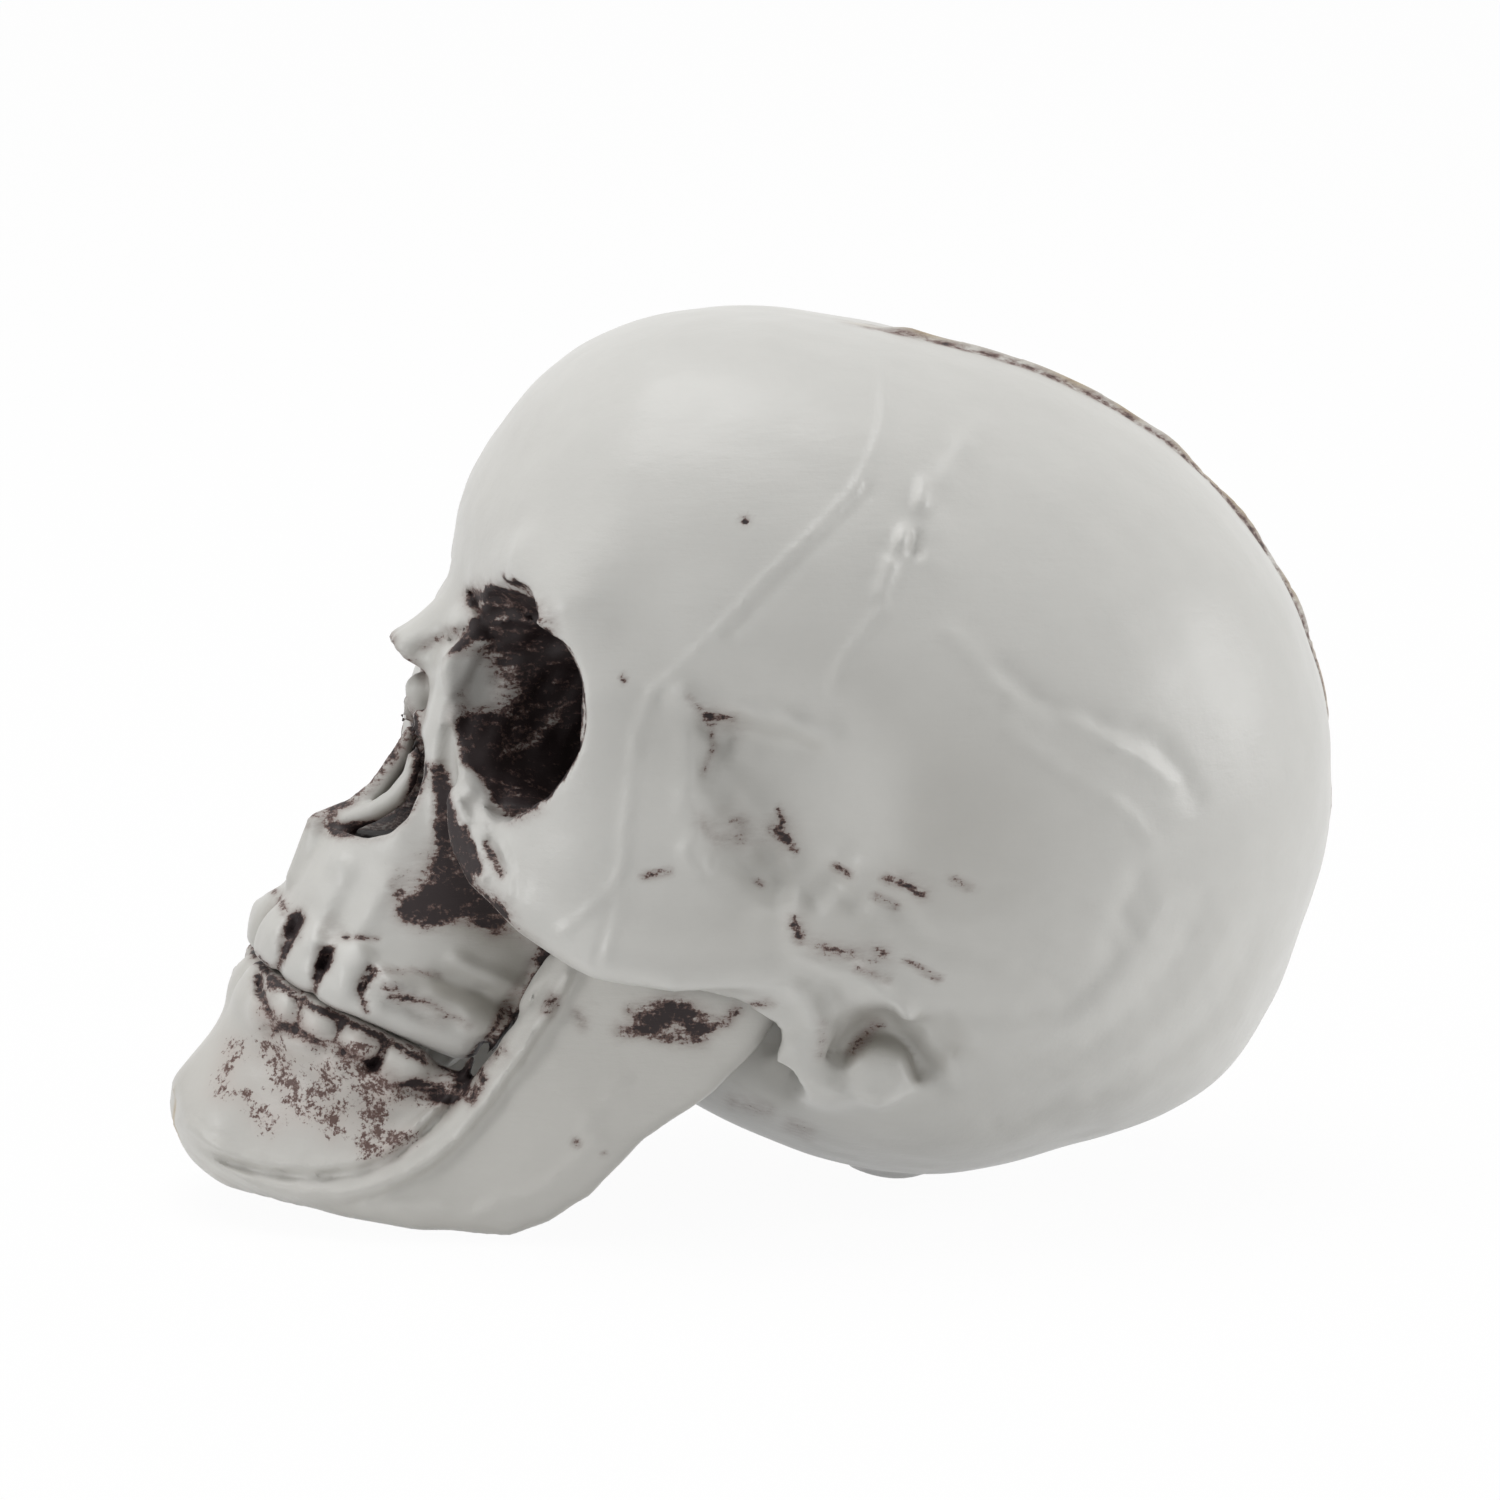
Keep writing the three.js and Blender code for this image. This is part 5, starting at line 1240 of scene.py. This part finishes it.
def relax(points, quads, values, axes, cell):
    """Each vertex moves halfway to its neighbours' middle and back to the surface; the cap stays flat."""
    total, count = np.zeros_like(points), np.zeros(len(points))
    for a, b in ((0, 1), (1, 2), (2, 3), (3, 0)):
        for i, j in ((a, b), (b, a)):
            np.add.at(total, quads[:, i], points[quads[:, j]])
            np.add.at(count, quads[:, i], 1)
    eased = (points + total / count[:, None]) / 2
    cap = points[:, 0] < cell / 2
    eased[cap, 0] = 0
    d = interpolate(values, axes, eased)
    g = slope(values, axes, eased, cell / 2)
    g[cap, 0] = 0
    on_cap = cap & (d < -cell)
    d = np.clip(d, -cell / 2, cell / 2)
    d[on_cap] = 0
    return eased - d[:, None] * g


def openness(points, normals, values, axes, heights):
    """How open the sky is over each vertex: the mean of d(p + n h) / h over heights h in millimetres."""
    total = np.zeros(len(points))
    for h in heights:
        total += np.clip(interpolate(values, axes, points + normals * h * MM) / (h * MM), 0, 1)
    return total / len(heights)


def skinned(form, axes, cell):
    """The left half of a form with its normals and how open the sky is over it, far and near."""
    points, quads, fine, rough = half_surface(form, axes)
    normals = slope(*fine, points, cell)
    sky = openness(points, normals, *rough, SKY_HEIGHTS)
    crease = openness(points, normals, *fine, FOLD_HEIGHTS)
    return points, quads, normals, sky, crease


# Tan flash along the seam: half width, and how its strength waves from front to back.
FLASH_SPREAD = 0.55
FLASH_LEAST, FLASH_PULSE, FLASH_TURN, FLASH_DRIFT, FLASH_DRIFT_TURN = 0.6, 0.4, 0.9, 2, 0.37
# Brown stain beside it: its middle line and half width.
TRIM_OUT, TRIM_SPREAD = 0.75, 0.45
# Where the flash runs over the crown and at the chin, as starts and fades.
CROWN_FRONT, CROWN_FOOT, CHIN_BACK, CHIN_TOP = (-20, 6), (34, 8), (36, 1), (9, 1.5)


def seam_marks(p):
    """Tan flash on the seam over the crown and at the chin, and brown stain beside it."""
    x, y, z = (c / MM for c in p)
    crown = beyond(y, *CROWN_FRONT) * beyond(z, *CROWN_FOOT)
    chin = beyond(-y, *CHIN_BACK) * beyond(-z, *CHIN_TOP)
    pulse = FLASH_LEAST + FLASH_PULSE * np.sin(y * FLASH_TURN + FLASH_DRIFT * np.sin(y * FLASH_DRIFT_TURN))
    flash = np.exp(-(x / FLASH_SPREAD) ** 2) * np.maximum(crown, chin) * pulse
    trim = np.exp(-((x - TRIM_OUT) / TRIM_SPREAD) ** 2) * crown
    return {"flash": np.clip(flash, 0, 1), "trim": trim}


# Blender objects

# Edges that turn by more degrees than this are shaded sharp.
SHARP_ANGLE = 60


def to_rest(s, points):
    """Level points to the resting pose of the frame: tipped back, with the hinge at the frame's joint."""
    j = s.jaw
    c, n = math.cos(s.rest_tilt), math.sin(s.rest_tilt)
    hinge = np.array(frame["joints"][0]["pos_m"])
    y, z = points[:, 1] + j.hinge_forward, points[:, 2] - j.hinge_up
    return np.stack([points[:, 0], y * c + z * n, z * c - y * n], 1) + hinge


def make_piece(s, name, points, faces, attributes, mirrored):
    """A mesh object from level points, mirrored for the right side, with float attributes per vertex."""
    level = points * (-1, 1, 1) if mirrored else points
    faces = faces[:, ::-1] if mirrored else faces
    mesh = bpy.data.meshes.new(name)
    mesh.from_pydata(to_rest(s, level), [], faces.tolist())
    for key, values in attributes.items():
        layer = mesh.attributes.new(key, "FLOAT", "POINT")
        layer.data.foreach_set("value", values.astype(np.float32))
    mesh.polygons.foreach_set("use_smooth", np.ones(len(mesh.polygons), bool))
    mesh.set_sharp_from_angle(angle=math.radians(SHARP_ANGLE))
    piece = bpy.data.objects.new(name, mesh)
    bpy.context.collection.objects.link(piece)
    return piece


# Materials

def add_node(material, kind, **settings):
    """A new shader node of a kind, with its settings."""
    node = material.node_tree.nodes.new("ShaderNode" + kind)
    for key, value in settings.items():
        setattr(node, key, value)
    return node


def wire(material, source, target):
    """A link from one socket to another."""
    material.node_tree.links.new(source, target)


def calc(material, operation, first, second, third=None, clamp=False):
    """A math node on numbers or sockets."""
    node = add_node(material, "Math", operation=operation, use_clamp=clamp)
    for socket_in, value in zip(node.inputs, (first, second, third)):
        if isinstance(value, (int, float)):
            socket_in.default_value = value
        elif value is not None:
            wire(material, value, socket_in)
    return node.outputs[0]


def blend(material, share, first, second):
    """A colour between two colours or sockets."""
    node = add_node(material, "Mix", data_type="RGBA")
    wire(material, share, node.inputs["Factor"])
    for name, value in (("A", first), ("B", second)):
        target = [i for i in node.inputs if i.name == name and i.type == "RGBA"][0]
        if isinstance(value, tuple):
            target.default_value = value
        else:
            wire(material, value, target)
    return [o for o in node.outputs if o.type == "RGBA"][0]


def grain(material, scale, detail, roughness, stretch=(1, 1, 1), turn=(0, 0, 0)):
    """Noise in the object's own coordinates, stretched and turned."""
    coordinates = add_node(material, "TexCoord")
    mapping = add_node(material, "Mapping")
    mapping.inputs["Scale"].default_value = stretch
    mapping.inputs["Rotation"].default_value = turn
    noise = add_node(material, "TexNoise")
    noise.inputs["Scale"].default_value = scale
    noise.inputs["Detail"].default_value = detail
    noise.inputs["Roughness"].default_value = roughness
    wire(material, coordinates.outputs["Object"], mapping.inputs["Vector"])
    wire(material, mapping.outputs["Vector"], noise.inputs["Vector"])
    return noise.outputs["Fac"]


def reading(material, name):
    """The value of a vertex attribute."""
    node = add_node(material, "Attribute", attribute_name=name)
    return node.outputs["Fac"]


# Noises of the finishes: scale, detail and roughness, then the stretch and the turn of their grain.
STREAKS = 1000, 6, 0.7, (1, 0.5, 1.7), (0.5, 0.2, 0.3)
CLOUDS = 300, 4, 0.6
DUST = 3200, 3, 0.65
CRUMBS = 3800, 3, 0.7
CLUSTERS = 1300, 3, 0.6
WIPES = 900, 4, 0.6, (0.5, 0.14, 1), (0.45, 0, 0.1)
PORES = 1500, 3, 0.6
RINGS = 900, 3, 0.6, (4, 0.4, 0.4)
DULL_SPOTS = 500, 4, 0.6
# Brushed stain: the noises' shares in its edge, the noise and stain that it starts at, and its steepness.
STREAK_SHARE, CLOUD_SHARE, DUST_SHARE = 4.2, 1.4, 2.6
STAIN_GAIN, STAIN_START, STAIN_EDGE, STAIN_FOOT = 2.3, 4.98, 0.8, 5
# Its soft rim: shares of the noises, where it starts, its growth and its strength.
WASH_STREAKS, WASH_CLOUDS, WASH_START, WASH_GAIN, WASH_STRENGTH = 1.3, 0.5, 0.55, 2, 0.75
# Stained pits: shares of the noises and of the speckle, their start, their edge, and their film and depth.
CRUMB_SHARE, CLUSTER_SHARE, SPECKLE_SHARE = 0.75, 0.7, 0.36
PIT_START, PIT_EDGE, PIT_FILM, PIT_DEPTH, PIT_DEPTH_START = 1.03, 8, 0.55, 1.2, 0.55
# Stain beside the flash: how it breaks up.
TRIM_GAIN, TRIM_START = 4, 1.5
# Shares of the base colour in the plastic's darker and lighter clouds.
DARK_CLOUD, LIGHT_CLOUD = 0.96, 1.03
# How the thin and the thick colour follow the amount of stain.
THIN_GAIN, THICK_GAIN, THICK_START = 1.7, 1.9, 0.85
# Gloss of the clean plastic, and how the stain dulls it.
SHINE, SATIN, STAIN_DULL = 0.32, 0.34, 0.2
# Relief of the surface: the stain's, the wipes' and the pores' share, the strength, and the height in metres.
STAIN_SINK, WIPE_RISE, PORE_RISE, BUMP_STRENGTH, BUMP_HEIGHT = -0.8, 0.6, 0.25, 0.42, 0.0002
# Steel: share of the colour where it is dull, the rings' share of the roughness, the least roughness, and
# the relief's strength and height in metres.
DULL_SHARE, RING_SHARE, POLISH, RING_STRENGTH, RING_HEIGHT = 0.7, 0.3, 0.15, 0.2, 0.0001


def shaded(base, share):
    """A colour with a share of its brightness, at most white."""
    return tuple(min(1, share * c) for c in base[:3]) + (1,)


def brushed(material, streaks, clouds):
    """Amount of brushed stain: where stain and noise together pass a start, with a soft rim."""
    stain = reading(material, "stain")
    dust = calc(material, "MULTIPLY", grain(material, *DUST), DUST_SHARE)
    noise = calc(material, "MULTIPLY_ADD", clouds, CLOUD_SHARE, dust)
    noise = calc(material, "MULTIPLY_ADD", streaks, STREAK_SHARE, noise)
    lifted = calc(material, "MULTIPLY_ADD", stain, STAIN_GAIN, calc(material, "SUBTRACT", noise, STAIN_START))
    amount = calc(material, "MULTIPLY", lifted, STAIN_EDGE, clamp=True)
    amount = calc(material, "MULTIPLY", amount, calc(material, "MULTIPLY", stain, STAIN_FOOT, clamp=True))
    wash = calc(material, "MULTIPLY_ADD", clouds, WASH_CLOUDS, -WASH_START)
    wash = calc(material, "MULTIPLY_ADD", streaks, WASH_STREAKS, wash)
    share = calc(material, "MULTIPLY", stain, WASH_GAIN, clamp=True)
    wash = calc(material, "MULTIPLY", share, wash, clamp=True)
    return calc(material, "MAXIMUM", amount, calc(material, "MULTIPLY", wash, WASH_STRENGTH))


def pits(material, speckle):
    """Small stained pits: where speckle and two noises together pass a start."""
    clusters = calc(material, "MULTIPLY", grain(material, *CLUSTERS), CLUSTER_SHARE)
    crumbs = calc(material, "MULTIPLY_ADD", grain(material, *CRUMBS), CRUMB_SHARE, clusters)
    crumbs = calc(material, "SUBTRACT", crumbs, PIT_START)
    dots = calc(material, "MULTIPLY_ADD", speckle, SPECKLE_SHARE, crumbs)
    return calc(material, "MULTIPLY", dots, PIT_EDGE, clamp=True)


def raised(material, height, strength, metres):
    """Relief of the finish, from a height of 0 to 1."""
    bump = add_node(material, "Bump")
    bump.inputs["Strength"].default_value = strength
    bump.inputs["Distance"].default_value = metres
    wire(material, height, bump.inputs["Height"])
    wire(material, bump.outputs["Normal"], material.node_tree.nodes["Principled BSDF"].inputs["Normal"])


def plastic_material(name, base):
    """Satin plastic with brushed brown stain in its hollows, stained pits on the chin and tan mould flash."""
    material = bpy.data.materials.new(name)
    material.use_nodes = True
    shader = material.node_tree.nodes["Principled BSDF"]
    shader.inputs["Specular IOR Level"].default_value = SHINE
    streaks, clouds = grain(material, *STREAKS), grain(material, *CLOUDS)
    amount = brushed(material, streaks, clouds)
    speckle = reading(material, "speckle")
    dots = pits(material, speckle)
    broken = calc(material, "MULTIPLY_ADD", streaks, TRIM_GAIN, -TRIM_START)
    trim = calc(material, "MULTIPLY", reading(material, "trim"), broken, clamp=True)
    amount = calc(material, "MAXIMUM", amount, trim)
    tone = blend(material, clouds, shaded(base, DARK_CLOUD), shaded(base, LIGHT_CLOUD))
    # Painted shade: a darker grey brown where little sky is seen, in narrow folds and in the listed patches.
    tone = blend(material, reading(material, "painted_shade"), tone, PAINTED_SHADE_COLOUR)
    tone = blend(material, reading(material, "flash"), tone, FLASH_COLOUR)
    pit_film = calc(material, "MULTIPLY", speckle, calc(material, "MULTIPLY", clouds, PIT_FILM))
    tone = blend(material, pit_film, tone, WASH_STAIN)
    tone = blend(material, dots, tone, SPECKLE_STAIN)
    deep = calc(material, "MULTIPLY_ADD", dots, PIT_DEPTH, -PIT_DEPTH_START, clamp=True)
    amount = calc(material, "MAXIMUM", amount, deep)
    tone = blend(material, calc(material, "MULTIPLY", amount, THIN_GAIN, clamp=True), tone, THIN_STAIN)
    thick = calc(material, "MULTIPLY_ADD", amount, THICK_GAIN, -THICK_START, clamp=True)
    tone = blend(material, thick, tone, THICK_STAIN)
    wire(material, tone, shader.inputs["Base Color"])
    wire(material, calc(material, "MULTIPLY_ADD", amount, STAIN_DULL, SATIN), shader.inputs["Roughness"])
    wipes = calc(material, "MULTIPLY", grain(material, *WIPES), WIPE_RISE)
    height = calc(material, "MULTIPLY_ADD", amount, STAIN_SINK, wipes)
    height = calc(material, "MULTIPLY_ADD", grain(material, *PORES), PORE_RISE, height)
    raised(material, height, BUMP_STRENGTH, BUMP_HEIGHT)
    return material


def steel_material(name, base):
    """Bright steel with turned rings and slight stains."""
    material = bpy.data.materials.new(name)
    material.use_nodes = True
    shader = material.node_tree.nodes["Principled BSDF"]
    shader.inputs["Metallic"].default_value = 1
    rings = grain(material, *RINGS)
    tone = blend(material, grain(material, *DULL_SPOTS), tuple(base), shaded(base, DULL_SHARE))
    wire(material, tone, shader.inputs["Base Color"])
    wire(material, calc(material, "MULTIPLY_ADD", rings, RING_SHARE, POLISH), shader.inputs["Roughness"])
    raised(material, rings, RING_STRENGTH, RING_HEIGHT)
    return material


# Stage

PAPER, PAPER_ROUGHNESS = (0.9, 0.9, 0.9, 1), 0.9
DAYLIGHT = (1, 0.995, 0.985, 1)
# Lamps: direction from the skull, and side in metres.
TOP_LAMP = (-0.12, -0.15, 1), 0.5
FRONT_LAMP = (0.3, -1, 0.3), 0.16
BACK_LAMP = (0.12, 1, 0.12), 0.35


def plainly_seen(holder):
    """1 for what the camera sees, straight, mirrored or through glass, and 0 for light on the object."""
    rays = add_node(holder, "LightPath")
    seen = calc(holder, "MAXIMUM", rays.outputs["Is Camera Ray"], rays.outputs["Is Glossy Ray"])
    return calc(holder, "MAXIMUM", seen, rays.outputs["Is Transmission Ray"])


def lay_floor(g):
    """A pale floor that shows nearly white and keeps the skull's shadow."""
    bpy.ops.mesh.primitive_plane_add(size=g.floor)
    floor = bpy.context.object
    floor.name = "floor"
    paper = bpy.data.materials.new("floor paper")
    paper.use_nodes = True
    shader = paper.node_tree.nodes["Principled BSDF"]
    shader.inputs["Base Color"].default_value = PAPER
    shader.inputs["Roughness"].default_value = PAPER_ROUGHNESS
    glow = add_node(paper, "Emission")
    glow.inputs["Strength"].default_value = 1
    mixed = add_node(paper, "MixShader")
    wire(paper, calc(paper, "MULTIPLY", plainly_seen(paper), g.floor_white), mixed.inputs["Fac"])
    wire(paper, shader.outputs["BSDF"], mixed.inputs[1])
    wire(paper, glow.outputs["Emission"], mixed.inputs[2])
    wire(paper, mixed.outputs["Shader"], paper.node_tree.nodes["Material Output"].inputs["Surface"])
    floor.data.materials.append(paper)


def hang_dome(context, g):
    """Even light all round, seen as white."""
    world = bpy.data.worlds.new("studio")
    context.scene.world = world
    world.use_nodes = True
    backdrop = world.node_tree.nodes["Background"]
    backdrop.inputs["Color"].default_value = DAYLIGHT
    strength = calc(world, "MULTIPLY_ADD", plainly_seen(world), 1 - g.dome_strength, g.dome_strength)
    wire(world, strength, backdrop.inputs["Strength"])


def hang_lamps(context, g):
    """Square lamps overhead, before the face and low behind."""
    lamps = [
        ("top", *TOP_LAMP, g.top_power),
        ("front", *FRONT_LAMP, g.front_power),
        ("back", *BACK_LAMP, g.back_power),
    ]
    for name, way, side, power in lamps:
        light = bpy.data.lights.new(name, "AREA")
        light.size = side
        light.energy = power
        lamp = bpy.data.objects.new(name, light)
        lamp.location = TARGET + Vector(way).normalized() * g.light_distance
        lamp.rotation_euler = Vector(way).to_track_quat("Z", "Y").to_euler()
        context.collection.objects.link(lamp)


def set_camera(context, g):
    """A camera with a long lens, aimed at the middle of the CAD's box."""
    camera = bpy.data.objects.new("camera", bpy.data.cameras.new("camera"))
    camera.data.lens = g.lens
    back = Vector(camera_axes(g)[2])
    camera.location = TARGET + back * g.distance
    camera.rotation_euler = back.to_track_quat("Z", "Y").to_euler()
    context.collection.objects.link(camera)
    context.scene.camera = camera


# Operators

class SKULL_OT_head(bpy.types.Operator):
    """Build the two shells of the cranium"""
    bl_idname = "skull.head"
    bl_label = "Build cranium"

    def execute(self, context):
        s = context.scene.skull
        h, m = s.head, s.mesh
        axes = [
            grid_lines((-m.cell / 2, h.half_breadth + m.margin, m.cell)),
            grid_lines((-h.face_reach - m.margin, -m.face_rear, m.cell),
                       (-m.face_rear, h.crown_half_length, m.wide_cell)),
            grid_lines((-m.margin, m.face_top, m.cell),
                       (m.face_top, h.crown_up + h.crown_half_height + m.margin, m.wide_cell)),
        ]
        points, quads, normals, sky, crease = skinned(lambda p: head_form(s, p), axes, m.cell)
        p = tuple(points.T)
        # The second look is painted shade of hollows, folds and patches.
        looks = {"stain": head_stain(s, p, normals, sky, crease), "painted_shade": painted_head_shade(s, p, normals, sky, crease),
                 "speckle": np.zeros(len(points)), **seam_marks(p)}
        material = plastic_material("bone plastic", s.bone)
        for side, mirrored in (("left", False), ("right", True)):
            node = "cranium_" + side + "_shell"
            piece = make_piece(s, node + "_look", points, quads, looks, mirrored)
            piece.data.materials.append(material)
            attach(piece, "cranium")
            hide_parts(node)
        return {"FINISHED"}


class SKULL_OT_jaw(bpy.types.Operator):
    """Build the two halves of the lower jaw"""
    bl_idname = "skull.jaw"
    bl_label = "Build jaw"

    def execute(self, context):
        s = context.scene.skull
        h, m = s.head, s.mesh
        axes = [
            grid_lines((-m.cell / 2, h.half_breadth + m.margin, m.cell)),
            grid_lines((-h.face_reach - m.margin, 0, m.cell)),
            grid_lines((-s.jaw.chin_drop - m.margin, s.jaw.hinge_up + 2 * m.margin, m.cell)),
        ]
        points, quads, normals, sky, crease = skinned(lambda p: jaw_form(s, p), axes, m.cell)
        p = tuple(points.T)
        # The second look is painted shade of hollows and folds.
        looks = {"stain": jaw_stain(s, p, normals, crease), "painted_shade": painted_shade(sky, crease),
                 "speckle": jaw_speckle(s, p, normals), **seam_marks(p)}
        material = plastic_material("jaw plastic", s.jaw_bone)
        for side, mirrored in (("left", False), ("right", True)):
            node = "jaw_" + side + "_half"
            piece = make_piece(s, node + "_look", points, quads, looks, mirrored)
            piece.data.materials.append(material)
            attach(piece, "jaw")
            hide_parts(node)
        return {"FINISHED"}


class SKULL_OT_pins(bpy.types.Operator):
    """Give the two hinge pins their steel"""
    bl_idname = "skull.pins"
    bl_label = "Finish pins"

    def execute(self, context):
        material = steel_material("pin steel", context.scene.skull.steel)
        for side in ("left", "right"):
            pin = frame["nodes"]["jaw_pivot_pin_" + side]
            pin.data.materials.clear()
            pin.data.materials.append(material)
        return {"FINISHED"}


class SKULL_OT_stage(bpy.types.Operator):
    """Set the floor, the lights and the camera"""
    bl_idname = "skull.stage"
    bl_label = "Set stage"

    def execute(self, context):
        g = context.scene.skull.stage
        lay_floor(g)
        hang_dome(context, g)
        hang_lamps(context, g)
        set_camera(context, g)
        context.scene.view_settings.view_transform = "Standard"
        return {"FINISHED"}


class SKULL_PT_panel(bpy.types.Panel):
    """Buttons of the skull's operators"""
    bl_idname = "SKULL_PT_panel"
    bl_label = "Moulded skull"
    bl_space_type = "VIEW_3D"
    bl_region_type = "UI"
    bl_category = "Skull"

    def draw(self, context):
        layout = self.layout
        for operator in OPERATORS:
            layout.operator(operator.bl_idname)


GROUPS = HeadSizes, FaceSizes, MouthSizes, JawSizes, MeshSizes, StageSizes, SkullSettings
OPERATORS = SKULL_OT_head, SKULL_OT_jaw, SKULL_OT_pins, SKULL_OT_stage


def register():
    """Make the property groups, the operators and the panel known to Blender."""
    for kind in (*GROUPS, *OPERATORS, SKULL_PT_panel):
        bpy.utils.register_class(kind)
    bpy.types.Scene.skull = PointerProperty(type=SkullSettings)


def unregister():
    """Take them out again."""
    del bpy.types.Scene.skull
    for kind in reversed((*GROUPS, *OPERATORS, SKULL_PT_panel)):
        bpy.utils.unregister_class(kind)


def main():
    """Build every piece and the stage."""
    register()
    bpy.ops.skull.head()
    bpy.ops.skull.jaw()
    bpy.ops.skull.pins()
    bpy.ops.skull.stage()


if __name__ == "__main__":
    main()
